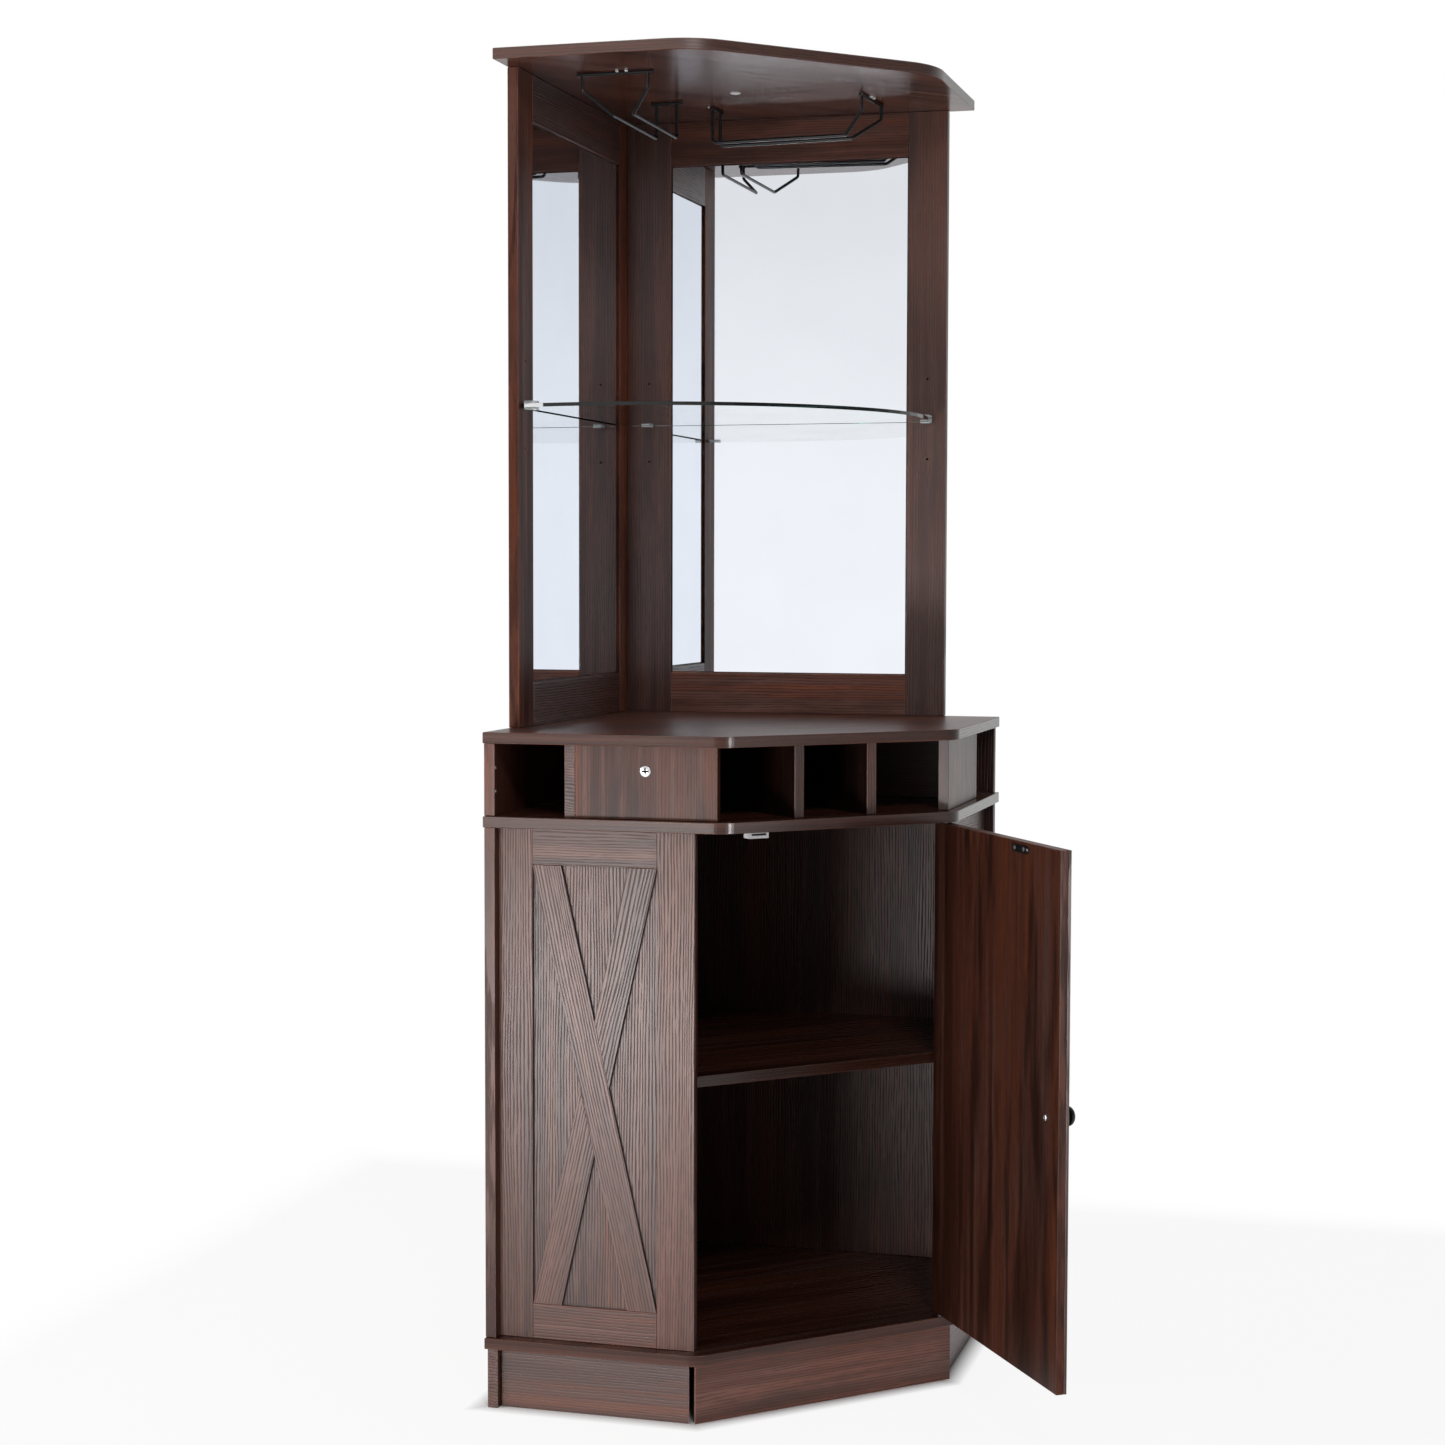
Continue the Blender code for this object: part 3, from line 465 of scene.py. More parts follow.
def laminate(name, grain, normal, seed, flat_board=False, emboss=1.0, tone=1.0, gloss=0.5, smooth=0.36,
             sides=1.0, inner=1.0, figure=0.55, painted_corner_shade=False, rim=0.0, rim_coat=0.0):
    """Wood-grain laminate with its grain and its face along two directions of the model's frame.

    emboss is the depth and darkness of its lines, tone its lightness, gloss its specular level, smooth
    its roughness between the lines and figure the darkness of its bands. sides and inner are the
    lightness of its narrow sides and of its rear face: painted shade on the sides of the braces and of
    the front dividers, on the shelf's rim and on the door's rear face, and painted light on the door's
    narrow sides. The corner setting paints shade into the corners where it meets another piece. A flat
    board has banding on its rim, where rim changes the roughness and rim_coat adds a coat.
    """
    made, tree, shader = start_material(name)
    place, facing, rim_share = grain_place(tree, grain, normal, flat_board)
    patches = grain_noise(tree, place, seed, patch_noise)
    lines = grain_lines(tree, place, seed, patches)
    shade = grain_colour(tree, place, seed, patches)
    shade = grain_marks(tree, place, seed, shade, lines, figure, emboss)
    # Painted shade in the corners where the piece meets another
    if painted_corner_shade:
        shade = mixed(tree, product(tree, corner_shade_share(tree), corner_shade_strength), shade, line_wood)
    # Narrow sides set lighter or darker: painted shade on some laminates, painted light on the door
    if sides != 1.0:
        shade = mixed(tree, rim_share, shade, toned(tree, shade, sides))
    # Painted shade on the rear face
    if inner != 1.0:
        shade = mixed(tree, ranged(tree, facing, *rear_face_shade_range), shade, toned(tree, shade, inner))
    if tone != 1.0:
        shade = toned(tree, shade, tone)
    tree.links.new(shade, shader.inputs["Base Color"])

    shader.inputs["Specular IOR Level"].default_value = gloss
    rough = ranged(tree, lines, 0.0, 1.0, smooth, smooth + line_roughness * emboss)
    if rim:
        rough = added(tree, rough, product(tree, rim_share, rim))
    tree.links.new(rough, shader.inputs["Roughness"])
    if rim_coat:
        tree.links.new(product(tree, rim_share, rim_coat), shader.inputs["Coat Weight"])
        shader.inputs["Coat Roughness"].default_value = coat_roughness
    add_bump(tree, shader, product(tree, lines, -1.0), line_depth * emboss ** 2, 1.0)
    return made


# Other materials

# A noise is given by its scale, detail, roughness and shift, a tint by its linear colour, a
# roughness by its two ends and a bump by its distance and strength
noise_middle = (0.3, 0.7)
mirror_haze = (9.0, 4.0)
mirror_tints = ((0.855, 0.885, 0.935), (0.880, 0.910, 0.960))
mirror_roughness = (0.010, 0.025)
glass_smears = (14.0, 3.0)
glass_tints = ((0.93, 0.965, 0.955), (0.95, 0.98, 0.97))
glass_edge_tint = (0.012, 0.055, 0.045)
glass_face_range = (0.5, 0.9)
glass_roughness = (0.0, 0.03)
glass_bending = 1.50
plastic_cloud = (160.0, 3.0)
plastic_tints = ((0.86, 0.88, 0.89), (0.94, 0.95, 0.95))
plastic_roughness = (0.03, 0.10)
plastic_bending = 1.49
plastic_clearness = 0.55
plastic_bump = (0.0002, 0.3)
hardboard_mottle = (7.0, 4.0, 0.60)
hardboard_tints = ((0.105, 0.068, 0.046), (0.175, 0.120, 0.085))
hardboard_tint_range = (0.32, 0.68)
hardboard_fibres = ((240.0, 240.0, 90.0), 3.0, 0.70, 5.0)
fibre_tint = (0.25, 0.185, 0.14)
fibre_range = (0.52, 0.70, 0.0, 0.70)
hardboard_flecks = (420.0, 2.0, 0.50, 9.0)
fleck_tint = (0.045, 0.028, 0.020)
fleck_range = (0.60, 0.72, 0.0, 0.80)
hardboard_roughness = (0.62, 0.82)
hardboard_bump = (0.0003, 0.5)
finish_speck_detail = 3.0
finish_dim_share = 0.78
finish_tint_range = (0.35, 0.65)
finish_roughness_shares = (0.8, 1.3)
finish_bump = (0.00005, 0.3)

# Plain finishes: colour, roughness, metallic, scale of the specks, specular level
plain_finishes = {
    "bright_steel": ((0.66, 0.66, 0.67), 0.30, 1.0, 700.0, 0.5),
    "black_metal": ((0.007, 0.007, 0.008), 0.30, 0.0, 500.0, 0.2),
    "white_plastic": ((0.78, 0.78, 0.80), 0.38, 0.0, 400.0, 0.5),
    # Near black in the screws' crossed recesses: painted shade
    "recess_painted_shade": ((0.006, 0.006, 0.007), 0.50, 1.0, 900.0, 0.5),
}


def plain_finish(name):
    """Metal or plastic of one colour, dimmer and smoother in its specks."""
    colour, roughness, metallic, scale, gloss = plain_finishes[name]
    made, tree, shader = start_material(name)
    specks = even_noise(tree, coordinates(tree)["Object"], scale, finish_speck_detail)
    dim = tuple(channel * finish_dim_share for channel in colour)
    shade = mixed(tree, ranged(tree, specks, *finish_tint_range), dim, colour)
    ends = [roughness * share for share in finish_roughness_shares]
    tree.links.new(shade, shader.inputs["Base Color"])
    tree.links.new(ranged(tree, specks, *noise_middle, *ends), shader.inputs["Roughness"])
    shader.inputs["Metallic"].default_value = metallic
    shader.inputs["Specular IOR Level"].default_value = gloss
    add_bump(tree, shader, specks, *finish_bump)
    return made


def mirror_material():
    made, tree, shader = start_material("mirror_silver")
    haze = even_noise(tree, coordinates(tree)["Object"], *mirror_haze)
    shade = mixed(tree, ranged(tree, haze, *noise_middle), *mirror_tints)
    tree.links.new(shade, shader.inputs["Base Color"])
    tree.links.new(ranged(tree, haze, *noise_middle, *mirror_roughness), shader.inputs["Roughness"])
    shader.inputs["Metallic"].default_value = 1.0
    return made


def glass_material():
    """Clear in its faces, dark green through its edge."""
    made, tree, shader = start_material("clear_glass")
    source = coordinates(tree)
    flat = math_node(tree, "ABSOLUTE", parts_of(tree, source["Normal"])[2])
    smears = even_noise(tree, source["Object"], *glass_smears)
    face = mixed(tree, ranged(tree, smears, *noise_middle), *glass_tints)
    shade = mixed(tree, ranged(tree, flat, *glass_face_range), glass_edge_tint, face)
    tree.links.new(shade, shader.inputs["Base Color"])
    tree.links.new(ranged(tree, smears, *noise_middle, *glass_roughness), shader.inputs["Roughness"])
    shader.inputs["IOR"].default_value = glass_bending
    shader.inputs["Transmission Weight"].default_value = 1.0
    return made


def clear_plastic_material():
    made, tree, shader = start_material("clear_plastic")
    cloud = even_noise(tree, coordinates(tree)["Object"], *plastic_cloud)
    shade = mixed(tree, ranged(tree, cloud, *noise_middle), *plastic_tints)
    tree.links.new(shade, shader.inputs["Base Color"])
    tree.links.new(ranged(tree, cloud, *noise_middle, *plastic_roughness), shader.inputs["Roughness"])
    shader.inputs["IOR"].default_value = plastic_bending
    shader.inputs["Transmission Weight"].default_value = plastic_clearness
    add_bump(tree, shader, cloud, *plastic_bump)
    return made


def hardboard_material():
    """Pressed fibre board: mottled brown with pale fibres and dark flecks."""
    made, tree, shader = start_material("hardboard")
    place = coordinates(tree)["Object"]
    mottle = even_noise(tree, place, *hardboard_mottle)
    fibres = noise(tree, place, *hardboard_fibres)
    flecks = even_noise(tree, place, *hardboard_flecks)
    shade = mixed(tree, ranged(tree, mottle, *hardboard_tint_range), *hardboard_tints)
    shade = mixed(tree, ranged(tree, fibres, *fibre_range), shade, fibre_tint)
    shade = mixed(tree, ranged(tree, flecks, *fleck_range), shade, fleck_tint)
    tree.links.new(shade, shader.inputs["Base Color"])
    tree.links.new(ranged(tree, fibres, *noise_middle, *hardboard_roughness), shader.inputs["Roughness"])
    add_bump(tree, shader, fibres, *hardboard_bump)
    return made


# Directions of a laminate: its grain and its face
upright_left = (up, toward_left_end)
upright_right = (up, toward_right_end)
level_left = (toward_right_end, toward_left_end)
level_right = (toward_left_end, toward_right_end)
level_door = (door_along, door_outward)
flat_level = (sideways, up)

# What the flat boards have in common
board_look = {"flat_board": True, "emboss": 0.25, "gloss": 0.30, "smooth": 0.24}
top_look = {"flat_board": True, "emboss": 0.25, "smooth": 0.20}

# Laminates: directions, seed and look
laminates = {
    "upright_left": (upright_left, 3.0, {"emboss": 1.12, "painted_corner_shade": True}),
    "upright_right": (upright_right, 11.0, {"painted_corner_shade": True}),
    # The front dividers' sides are painted dark, as painted shade in the rack openings
    "upright_front": ((up, forward), 19.0, {"emboss": 0.6, "gloss": 0.25, "sides": 0.2}),
    "inside_left": (upright_left, 15.0, {"gloss": 0.22, "tone": 0.65}),
    "inside_right": (upright_right, 17.0, {"gloss": 0.30, "tone": 1.2}),
    "plain_left": (upright_left, 5.0, {"emboss": 0.6, "gloss": 0.42}),
    "plain_right": (upright_right, 13.0, {"emboss": 0.6, "gloss": 0.58, "sides": 0.6}),
    "fascia_left": (upright_left, 9.0, {"emboss": 0.35, "gloss": 0.24, "figure": 0.75}),
    "along_left": (level_left, 31.0, {"emboss": 0.45, "tone": 0.88}),
    "along_right": (level_right, 37.0, {}),
    "kick_front": ((sideways, forward), 47.0, {"emboss": 0.6, "tone": 1.9, "gloss": 0.35}),
    "hutch_upright": (upright_right, 21.0, {"emboss": 0.6, "gloss": 0.06, "tone": 1.7, "sides": 0.55}),
    "hutch_level": (level_left, 33.0, {"emboss": 0.5, "gloss": 0.24}),
    # A lighter copy of the hutch rails' laminate: painted light on the right hutch panel's bottom rail
    "hutch_level_lit": (level_left, 35.0, {"emboss": 0.5, "gloss": 0.30, "tone": 2.1}),
    "top": (flat_level, 53.0, {**top_look, "gloss": 0.11}),
    "top_rim": (flat_level, 53.0, {**top_look, "gloss": 0.90, "tone": 0.95}),
    "board": (flat_level, 55.0, {**board_look, "rim": -0.02, "rim_coat": 0.18, "sides": 0.74}),
    "bottom": (flat_level, 55.0, {**board_look, "sides": 1.1}),
    # The shelf's rim is painted darker than the other boards', as painted shade inside the base
    "shelf": (flat_level, 55.0, {**board_look, "sides": 0.4}),
    "counter": (flat_level, 57.0, {"flat_board": True, "emboss": 0.4, "gloss": 0.16, "smooth": 0.30,
                                   "tone": 1.25, "rim": -0.08, "rim_coat": 0.22, "sides": 0.60}),
    # The door: painted shade on its rear face, painted light on its narrow sides
    "door": ((up, door_outward), 61.0, {"emboss": 0.45, "gloss": 0.10, "figure": 0.8, "sides": 1.25,
                                        "inner": 0.56, "painted_corner_shade": True}),
}
wood = {name: laminate(f"laminate_{name}", *directions, seed, **look)
        for name, (directions, seed, look) in laminates.items()}
bright_steel = plain_finish("bright_steel")
black_metal = plain_finish("black_metal")
white_plastic = plain_finish("white_plastic")
recess_painted_shade = plain_finish("recess_painted_shade")
mirror_silver = mirror_material()
clear_glass = glass_material()
clear_plastic = clear_plastic_material()
hardboard = hardboard_material()


# Pieces made here

def finish_piece(name, shape, material, body, bevel=trim_round, smooth=False):
    """Object of a closed shape, with its sharp edges bevelled, riding on a body."""
    bmesh.ops.recalc_face_normals(shape, faces=shape.faces)
    if bevel:
        sharp = [edge for edge in shape.edges if edge.calc_face_angle(0.0) > sharp_turn]
        bmesh.ops.bevel(shape, geom=sharp, offset=bevel, segments=1, affect="EDGES")
    mesh = bpy.data.meshes.new(name)
    shape.to_mesh(mesh)
    shape.free()
    made = bpy.data.objects.new(name, mesh)
    bpy.context.scene.collection.objects.link(made)
    mesh.materials.append(material)
    if smooth:
        mesh.shade_smooth()
        mesh.set_sharp_from_angle(angle=math.radians(smooth_angle))
    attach(made, body)
    return made


def slab_of(outline, thickness, place):
    """Closed plate over a flat outline of (along, height), laid in the model by place."""
    shape = bmesh.new()
    lower = [shape.verts.new(place(along, height, 0.0)) for along, height in outline]
    upper = [shape.verts.new(place(along, height, thickness)) for along, height in outline]
    shape.faces.new(lower)
    shape.faces.new(list(reversed(upper)))
    for step in range(len(outline)):
        after = (step + 1) % len(outline)
        shape.faces.new((lower[step], upper[step], upper[after], lower[after]))
    return shape


def rectangle(left, bottom, right, top):
    return [(left, bottom), (right, bottom), (right, top), (left, top)]


# Applied frames and braces of the side panels and the door

# Looks of the boards. The sides of the braces are painted dark, as painted shade.
stile_look = {"gloss": 0.42, "figure": 0.3}
rail_look = {"emboss": 0.6, "gloss": 0.40}
brace_look = {"sides": 0.2}
brace_rise_margin = 0.1
rail_seed_shift = 2.0
falling_seed_shift = 5.0


def level_width(opening_width, opening_height):
    """Level width of a diagonal brace, whose width square to its run is brace_width."""
    square = brace_width ** 2
    spare = opening_height ** 2 - square
    reach = square * (opening_height ** 2 + opening_width ** 2)
    root = math.sqrt((square * opening_width) ** 2 + spare * reach)
    return (root - square * opening_width) / spare


def frame_outlines(outer, inner):
    """Two stiles, and two rails between them, from the frame's outer and inner rectangles."""
    start, low, end, high = outer
    inner_start, inner_low, inner_end, inner_high = inner
    rail_start = inner_start + seam / 2
    rail_end = inner_end - seam / 2
    return {
        "stile_rear": (rectangle(start, low, inner_start, high), "upright"),
        "stile_front": (rectangle(inner_end, low, end, high), "upright"),
        "rail_lower": (rectangle(rail_start, low, rail_end, inner_low), "level"),
        "rail_upper": (rectangle(rail_start, inner_high, rail_end, high), "level"),
    }


def brace_outlines(inner):
    """One long brace and two short ones that meet its sides, in the frame's inner rectangle."""
    left, bottom = inner[0] + seam, inner[1] + seam
    right, top = inner[2] - seam, inner[3] - seam
    gap = seam / 2
    wide = level_width(right - left, top - bottom)
    run = right - left - wide
    rise = top - bottom

    def meeting(rising_side, falling_side):
        share = (run + falling_side - rising_side) / (2 * run)
        return (left + run * share + rising_side, bottom + rise * share)

    long_brace = [(right - wide, bottom), (right, bottom), (left + wide, top), (left, top)]
    lower_brace = [(left, bottom), (left + wide, bottom), meeting(wide, -gap), meeting(0, -gap)]
    upper_brace = [meeting(0, wide + gap), meeting(wide, wide + gap), (right, top), (right - wide, top)]
    return {
        "brace_long": (long_brace, "falling"),
        "brace_lower": (lower_brace, "rising"),
        "brace_upper": (upper_brace, "rising"),
    }


def panel_woods(prefix, along, outward, slope, seeds):
    """Laminates of one panel's boards, by the way that they run."""
    run, rise = slope
    frame_seed, brace_seed = seeds
    rising = (along * run + up * rise).normalized()
    falling = (along * -run + up * rise).normalized()
    name = f"laminate_{prefix}"
    falling_seed = brace_seed + falling_seed_shift
    return {
        "upright": laminate(f"{name}_stiles", up, outward, frame_seed, **stile_look),
        "level": laminate(f"{name}_rails", along, outward, frame_seed + rail_seed_shift, **rail_look),
        "rising": laminate(f"{name}_rising", rising, outward, brace_seed, **brace_look),
        "falling": laminate(f"{name}_falling", falling, outward, falling_seed, **brace_look),
    }


def trim_panel(prefix, body, span, stiles, levels, place, directions, seeds):
    """Single boards in place of one panel's applied frame and applied braces."""
    start, end = span
    low, high = levels
    outer = (start, low, end, high)
    inner = (start + stiles[0], low + trim_bottom_rail, end - stiles[1], high - trim_top_rail)
    slope = (end - start - sum(stiles) - brace_width, high - low - brace_rise_margin)
    woods = panel_woods(prefix, *directions, slope, seeds)
    for name, (outline, way) in (frame_outlines(outer, inner) | brace_outlines(inner)).items():
        piece = finish_piece(f"{prefix}_{name}", slab_of(outline, trim_thickness, place), woods[way], body)
        stood_for = f"{prefix}_braces" if name.startswith("brace") else f"{prefix}_frame"
        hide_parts(stood_for)


def place_left(along, height, depth):
    """Place on the left panel's boards, from their outer face inward."""
    return at(base_face - trim_thickness + depth, along, height)


def place_right(along, height, depth):
    """Place on the right panel's boards, from their outer face inward."""
    return at(along, base_face - trim_thickness + depth, height)


def on_door(along, height, stand_off):
    """Place on the door's inner face, at a distance from it."""
    spot = door_turn @ Vector((along, door_inner_face + stand_off, 0.0))
    return Vector((pivot_place[0] + spot.x, pivot_place[1] + spot.y, height))


def place_door(along, height, depth):
    """Place on the door's applied boards, from their inner face outward."""
    return on_door(along, height, trim_thickness - board_thickness - depth)


side_span = (board_thickness + seam, base_end_depth)
side_stiles = (side_rear_stile, side_front_stile)
side_levels = (base_floor + seam, base_ceiling - seam)
door_span = (door_free_edge, door_hinge_edge)
door_stiles = (door_stile, door_stile)
door_levels = (base_floor + door_floor_gap, base_ceiling - door_head_gap)

# Panels: body, span, stiles, levels, place, directions along and outward, seeds of frame and braces
panels = {
    "side_left": ("cabinet", side_span, side_stiles, side_levels, place_left, level_left, (23.0, 71.0)),
    "side_right": ("cabinet", side_span, side_stiles, side_levels, place_right, level_right, (27.0, 83.0)),
    "door": ("door", door_span, door_stiles, door_levels, place_door, level_door, (63.0, 97.0)),
}
for prefix, panel in panels.items():
    trim_panel(prefix, *panel)


# Top board

def rounded_board(length, end_depth, radius):
    """Plan outline of a five-sided board with an arc at each of its two front corners."""
    left_half = [(length, 0.0)]
    tangent = radius * math.tan(math.radians(corner_turn) / 2)
    centre_left, centre_right = length - radius, end_depth - tangent
    for step in range(corner_steps + 1):
        turn = math.radians(corner_turn) * step / corner_steps
        left_half.append((centre_left + radius * math.cos(turn), centre_right + radius * math.sin(turn)))
    right_half = [(right, left) for left, right in reversed(left_half)]
    return [(0.0, 0.0), *left_half, *right_half]


def place_top(left, right, depth):
    return at(left, right, hutch_ceiling + depth)


top_shape = slab_of(rounded_board(top_length, top_end_depth, top_corner_radius), board_thickness, place_top)
top_board = finish_piece("top_board_rounded", top_shape, wood["top"], "cabinet", bevel=top_board_round,
                         smooth=True)
top_board.data.materials.append(wood["top_rim"])
for face in top_board.data.polygons:
    face.material_index = int(abs(face.normal.z) < rim_upward_share)
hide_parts("top_board")


# Screws

def in_cross(x, y, radius):
    """Whether a place on a screw head lies in its crossed recess."""
    narrow, wide = sorted((abs(x), abs(y)))
    return narrow < radius * cross_width_share / 2 and wide < radius * cross_length_share


def head_ring(shape, stand, reach, level_of):
    """Ring of points about a screw's axis, at the levels that level_of gives."""
    ring = []
    for step in range(head_segments):
        turn = math.tau * step / head_segments
        x, y = reach * math.cos(turn), reach * math.sin(turn)
        ring.append(shape.verts.new(stand @ Vector((x, y, level_of(x, y)))))
    return ring


def screw_head(name, place, outward, radius, height, body, stands_for=None):
    """Round head with a crossed recess, standing on a surface and facing outward."""
    stand = Matrix.Translation(place) @ Vector(outward).to_track_quat("Z", "Y").to_matrix().to_4x4()
    recess = height * cross_depth_share
    shape = bmesh.new()
    rings = []
    for ring_share in head_ring_shares:
        dome = height * (1 - head_dome_share * ring_share ** 4)
        rings.append(head_ring(shape, stand, radius * ring_share,
                               lambda x, y: dome - recess * in_cross(x, y, radius)))
    foot = head_ring(shape, stand, radius, lambda x, y: 0.0)
    rings.append(foot)
    middle = shape.verts.new(stand @ Vector((0, 0, height - recess)))
    for step in range(head_segments):
        after = (step + 1) % head_segments
        shape.faces.new((middle, rings[0][step], rings[0][after])).material_index = 1
        for inner, outer in zip(rings, rings[1:]):
            face = shape.faces.new((inner[step], outer[step], outer[after], inner[after]))
            spot = stand.inverted() @ face.calc_center_median()
            face.material_index = int(in_cross(spot.x, spot.y, radius))
    shape.faces.new(list(reversed(foot)))
    made = finish_piece(name, shape, bright_steel, body, bevel=0)
    # The recess faces take the near-black finish, as painted shade
    made.data.materials.append(recess_painted_shade)
    if stands_for:
        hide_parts(stands_for)


screw_head("fascia_screw", at(rack_face + seam, fascia_screw_along, fascia_screw_level), toward_left_end,
           fascia_screw_radius, fascia_screw_height, "cabinet", "rack_fascia_screw")
screw_head("knob_screw", on_door(door_free_edge + knob_edge_distance, knob_level, seam), door_inward,
           knob_screw_radius, knob_screw_height, "door", "door_knob_screw")
for step, level in enumerate(back_screw_levels):
    screw_head(f"rack_back_screw_{step + 1}", at(back_screw_along, board_thickness, level), toward_right_end,
               back_screw_radius, back_screw_height, "cabinet")
for side, along, across, turn in stemware_racks:
    swing = Matrix.Rotation(math.radians(turn), 2)
    for end, run in (("rear", -bar_screw_shift), ("front", rack_length + bar_screw_shift)):
        for step, sign in enumerate((-1, 1)):
            offset = swing @ Vector((run, bar_screw_side + sign * bar_screw_spacing / 2))
            place = by_wall(side, along + offset.x, across + offset.y, hutch_ceiling - seam)
            screw_head(f"rack_screw_{side}_{end}_{step + 1}", place, -up, bar_screw_radius, bar_screw_height,
                       "cabinet")


# Strike plate

def round_ended_plate(centre, level, width, height, end_radius):
    """Outline of a level plate with a rounded end at each side."""
    outline = []
    reach = width / 2 - end_radius
    for end in (1, -1):
        for step in range(strike_end_steps + 1):
            turn = math.pi / 2 * (1 - end) + math.pi * (step / strike_end_steps - 0.5)
            along = centre + end * reach + end_radius * math.cos(turn)
            outline.append((along, level + height / 2 * math.sin(turn)))
    return outline


def place_strike(along, height, depth):
    return on_door(along, height, seam + depth)


strike_outline = round_ended_plate(strike_centre, strike_level, strike_width, strike_height,
                                   strike_end_radius)
strike_shape = slab_of(strike_outline, strike_thickness - seam, place_strike)
strike = finish_piece("strike_plate", strike_shape, black_metal, "door", bevel=strike_round)
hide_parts("door_strike_plate")
for step, offset in enumerate(strike_screw_offsets):
    screw_head(f"strike_screw_{step + 1}", on_door(strike_centre + offset, strike_level, strike_thickness),
               door_inward, strike_screw_radius, strike_screw_height, "door")
screw_head("strike_stud", on_door(strike_centre + strike_stud_offset, strike_level, strike_thickness),
           door_inward, strike_stud_radius, strike_screw_height, "door")


# Clips of the glass shelf

def glass_clip(name, side, along):
    """Clear clip with a jaw above the glass and a thin one below it."""
    throat_low = -glass_drop - seam
    throat_high = glass_thickness - glass_drop + seam
    low = throat_low - clip_lower_jaw
    high = throat_high + clip_upper_jaw
    profile = [(seam, low), (clip_reach, low), (clip_reach, throat_low), (clip_back, throat_low),
               (clip_back, throat_high), (clip_reach, throat_high), (clip_reach, high), (seam, high)]

    def place_clip(out, level, depth):
        return by_wall(side, along + depth - clip_width / 2, board_thickness + out, clip_level + level)

    shape = slab_of(profile, clip_width, place_clip)
    clip = finish_piece(f"clip_{name}", shape, clear_plastic, "cabinet", bevel=clip_round)
    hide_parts(f"glass_clip_{name}")


for name, side, along in glass_clips:
    glass_clip(name, side, along)


# Materials of the CAD nodes. Those not named here are bright steel.
finishes = {
    "top_board": wood["top"],
    "counter_top": wood["counter"],
    "rack_bottom_board": wood["board"],
    "bottom_board": wood["bottom"],
    "base_shelf": wood["shelf"],
    "kick_front": wood["kick_front"],
    "kick_left": wood["along_left"],
    "kick_right": wood["along_right"],
    "kick_rear_left": wood["along_right"],
    "kick_rear_right": wood["along_left"],
    "base_side_left": wood["upright_left"],
    "base_side_right": wood["upright_right"],
    "base_back_left": wood["inside_right"],
    "base_back_right": wood["inside_left"],
    "rack_back_left": wood["inside_right"],
    "rack_back_right": wood["inside_left"],
    "rack_side_divider_left": wood["along_right"],
    "rack_side_divider_right": wood["along_left"],
    "rack_front_divider_left": wood["upright_front"],
    "rack_front_divider_right": wood["upright_front"],
    "rack_fascia_left": wood["fascia_left"],
    "rack_fascia_right": wood["plain_right"],
    "hutch_left_corner_stile": wood["hutch_upright"],
    "hutch_left_outer_stile": wood["hutch_upright"],
    "hutch_left_top_rail": wood["along_right"],
    "hutch_left_bottom_rail": wood["along_right"],
    "hutch_right_corner_stile": wood["plain_left"],
    "hutch_right_outer_stile": wood["plain_left"],
    "hutch_right_top_rail": wood["hutch_level"],
    "hutch_right_bottom_rail": wood["hutch_level_lit"],
    "door_slab": wood["door"],
    "mirror_left": mirror_silver,
    "mirror_right": mirror_silver,
    "mirror_backing_left": hardboard,
    "mirror_backing_right": hardboard,
    "glass_shelf": clear_glass,
    "door_knob": black_metal,
    "door_strike_plate": black_metal,
    "catch_magnet": black_metal,
    "stemware_rack_left": black_metal,
    "stemware_rack_right": black_metal,
    "magnetic_catch": white_plastic,
    "top_board_cap": white_plastic,
}
for name, node in cad.items():
    node.data.materials.clear()
    node.data.materials.append(finishes.get(name, bright_steel))


# Studio

# Lamps: place, target, size, power in watts, and whether only shiny surfaces show it
lamps = {
    "key_left": ((-2.53, -1.14, 0.16), (-0.3, 0.0, 0.45), (1.2, 0.28), 42.5, False),
    "side_left": ((-3.8, 0.55, 1.3), (0.1, 0.2, 1.1), (0.8, 1.4), 58.0, False),
    "fill_high": ((-1.0, -3.0, 3.2), (0.0, 0.1, 0.9), (0.9, 0.6), 32.0, False),
    "card_front": ((0.86, -4.02, 0.56), (-0.1, 0.0, 0.80), (0.90, 0.60), 58.0, True),
    "overhead": ((0.2, 0.6, 4.0), (0.0, 0.2, 0.9), (2.0, 2.0), 25.0, False),
}

# Room around the object: its level as light, and its dim places as mirrors and gloss show them. Each
# has a direction, the start and end of the dimming toward it, and the share of white that is left.
ambient_light = 0.24
dim_places = (
    (Vector((0.64, -0.77, 0.0)), 0.45, 0.85, 0.26),
    (Vector((0.89, 0.46, 0.0)), 0.70, 0.95, 0.86),
    (up, 0.03, 0.14, 0.84),
)

# Floor, the footprint on it by distances toward the left end, the right end and the front, and the
# share of white by the distance outside the footprint: close to it, and farther out
floor_size = 40.0
floor_clouds = (3.0, 3.0)
floor_tints = ((0.90, 0.90, 0.90), (0.94, 0.94, 0.94))
floor_roughness = 0.9
foot_middle = -0.1415
foot_half = 0.2885
foot_front = 0.0075
near_white = (0.0, 0.03, 0.0, 0.90)
far_white = (0.05, 0.90, 0.0, 1.0, "SMOOTHSTEP")


def area_light(name, place, target, size, power, shiny_only):
    data = bpy.data.lights.new(name, "AREA")
    data.shape = "RECTANGLE"
    data.size, data.size_y = size
    data.energy = power
    made = bpy.data.objects.new(name, data)
    made.location = place
    made.visible_camera = False
    made.visible_diffuse = not shiny_only
    made.rotation_euler = (Vector(target) - Vector(place)).to_track_quat("-Z", "Y").to_euler()
    bpy.context.scene.collection.objects.link(made)


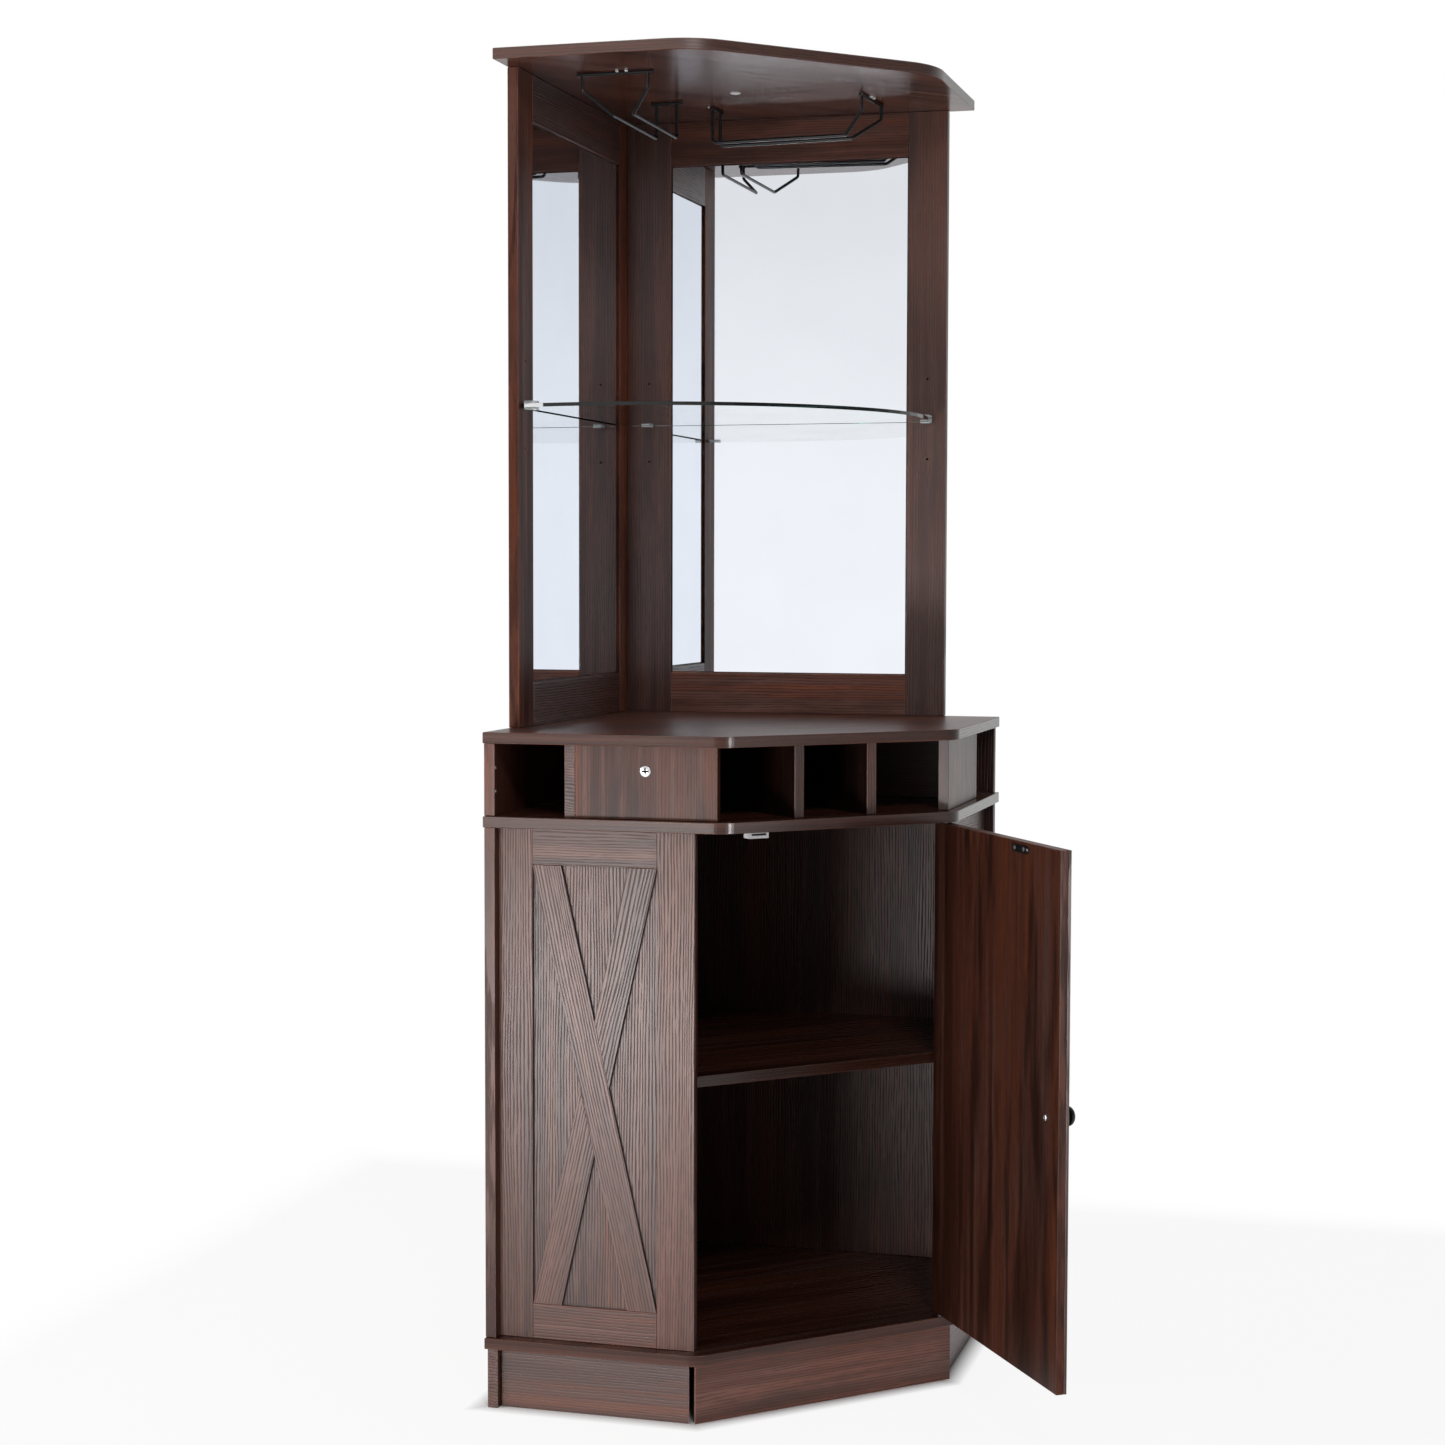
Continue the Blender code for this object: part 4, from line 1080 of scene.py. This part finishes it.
def outside_foot(tree, place):
    """How far a place on the floor lies outside the footprint."""
    parts = parts_of(tree, along_axes(tree, place, (toward_left_end, toward_right_end, forward)))
    outside = math_node(tree, "SUBTRACT", parts[2], foot_front)
    for part in parts[:2]:
        beyond = math_node(tree, "ABSOLUTE", math_node(tree, "SUBTRACT", part, foot_middle))
        outside = math_node(tree, "MAXIMUM", outside, math_node(tree, "SUBTRACT", beyond, foot_half))
    return outside


def floor_material():
    """Pale, with the soft shadow round the object, and plain white farther out."""
    made, tree, shader = start_material("pale_floor")
    place = coordinates(tree)["Object"]
    pale = mixed(tree, even_noise(tree, place, *floor_clouds), *floor_tints)
    tree.links.new(pale, shader.inputs["Base Color"])
    shader.inputs["Roughness"].default_value = floor_roughness
    shader.inputs["Specular IOR Level"].default_value = 0.0
    outside = outside_foot(tree, place)
    near_share = ranged(tree, outside, *near_white)
    white_share = math_node(tree, "MAXIMUM", near_share, ranged(tree, outside, *far_white))
    path = tree.nodes.new("ShaderNodeLightPath").outputs
    seen = math_node(tree, "MAXIMUM", path["Is Camera Ray"], path["Is Glossy Ray"])
    seen = math_node(tree, "MAXIMUM", seen, path["Is Transmission Ray"])
    white = tree.nodes.new("ShaderNodeEmission")
    blend = tree.nodes.new("ShaderNodeMixShader")
    tree.links.new(product(tree, seen, white_share), blend.inputs["Fac"])
    tree.links.new(shader.outputs[0], blend.inputs[1])
    tree.links.new(white.outputs[0], blend.inputs[2])
    tree.links.new(blend.outputs[0], tree.nodes["Material Output"].inputs["Surface"])
    return made


def make_floor():
    shape = bmesh.new()
    bmesh.ops.create_grid(shape, x_segments=1, y_segments=1, size=floor_size)
    mesh = bpy.data.meshes.new("floor")
    shape.to_mesh(mesh)
    shape.free()
    made = bpy.data.objects.new("floor", mesh)
    bpy.context.scene.collection.objects.link(made)
    mesh.materials.append(floor_material())


def make_world():
    """White backdrop to the camera and through glass, dimmer in places as seen in mirrors and gloss."""
    world = bpy.data.worlds.new("studio")
    bpy.context.scene.world = world
    world.use_nodes = True
    tree = world.node_tree
    backdrop = tree.nodes["Background"]
    view = coordinates(tree)["Generated"]
    surround = 1.0
    for direction, start, end, share in dim_places:
        toward = along_direction(tree, view, direction.normalized())
        surround = product(tree, surround, ranged(tree, toward, start, end, 1.0, share))
    path = tree.nodes.new("ShaderNodeLightPath").outputs
    seen = math_node(tree, "MAXIMUM", path["Is Camera Ray"], path["Is Transmission Ray"])
    surround = math_node(tree, "MAXIMUM", surround, seen)
    seen = math_node(tree, "MAXIMUM", seen, path["Is Glossy Ray"])
    level = ranged(tree, seen, 0.0, 1.0, ambient_light, 1.0)
    tree.links.new(product(tree, level, surround), backdrop.inputs["Strength"])
    backdrop.inputs["Color"].default_value = (1.0, 1.0, 1.0, 1.0)


def make_camera():
    data = bpy.data.cameras.new("camera")
    data.sensor_width = sensor_width
    data.lens = camera_lens
    data.clip_end = camera_reach
    made = bpy.data.objects.new("camera", data)
    turn = Matrix.Rotation(math.radians(camera_yaw), 4, "Z")
    tilt = Matrix.Rotation(math.radians(90 + camera_pitch), 4, "X")
    roll = Matrix.Rotation(math.radians(camera_roll), 4, "Z")
    made.matrix_world = Matrix.Translation(camera_place) @ turn @ tilt @ roll
    bpy.context.scene.collection.objects.link(made)
    bpy.context.scene.camera = made


make_floor()
make_world()
make_camera()
for name, (place, target, size, power, shiny_only) in lamps.items():
    area_light(name, place, target, size, power, shiny_only)
bpy.context.scene.view_settings.view_transform = "Standard"
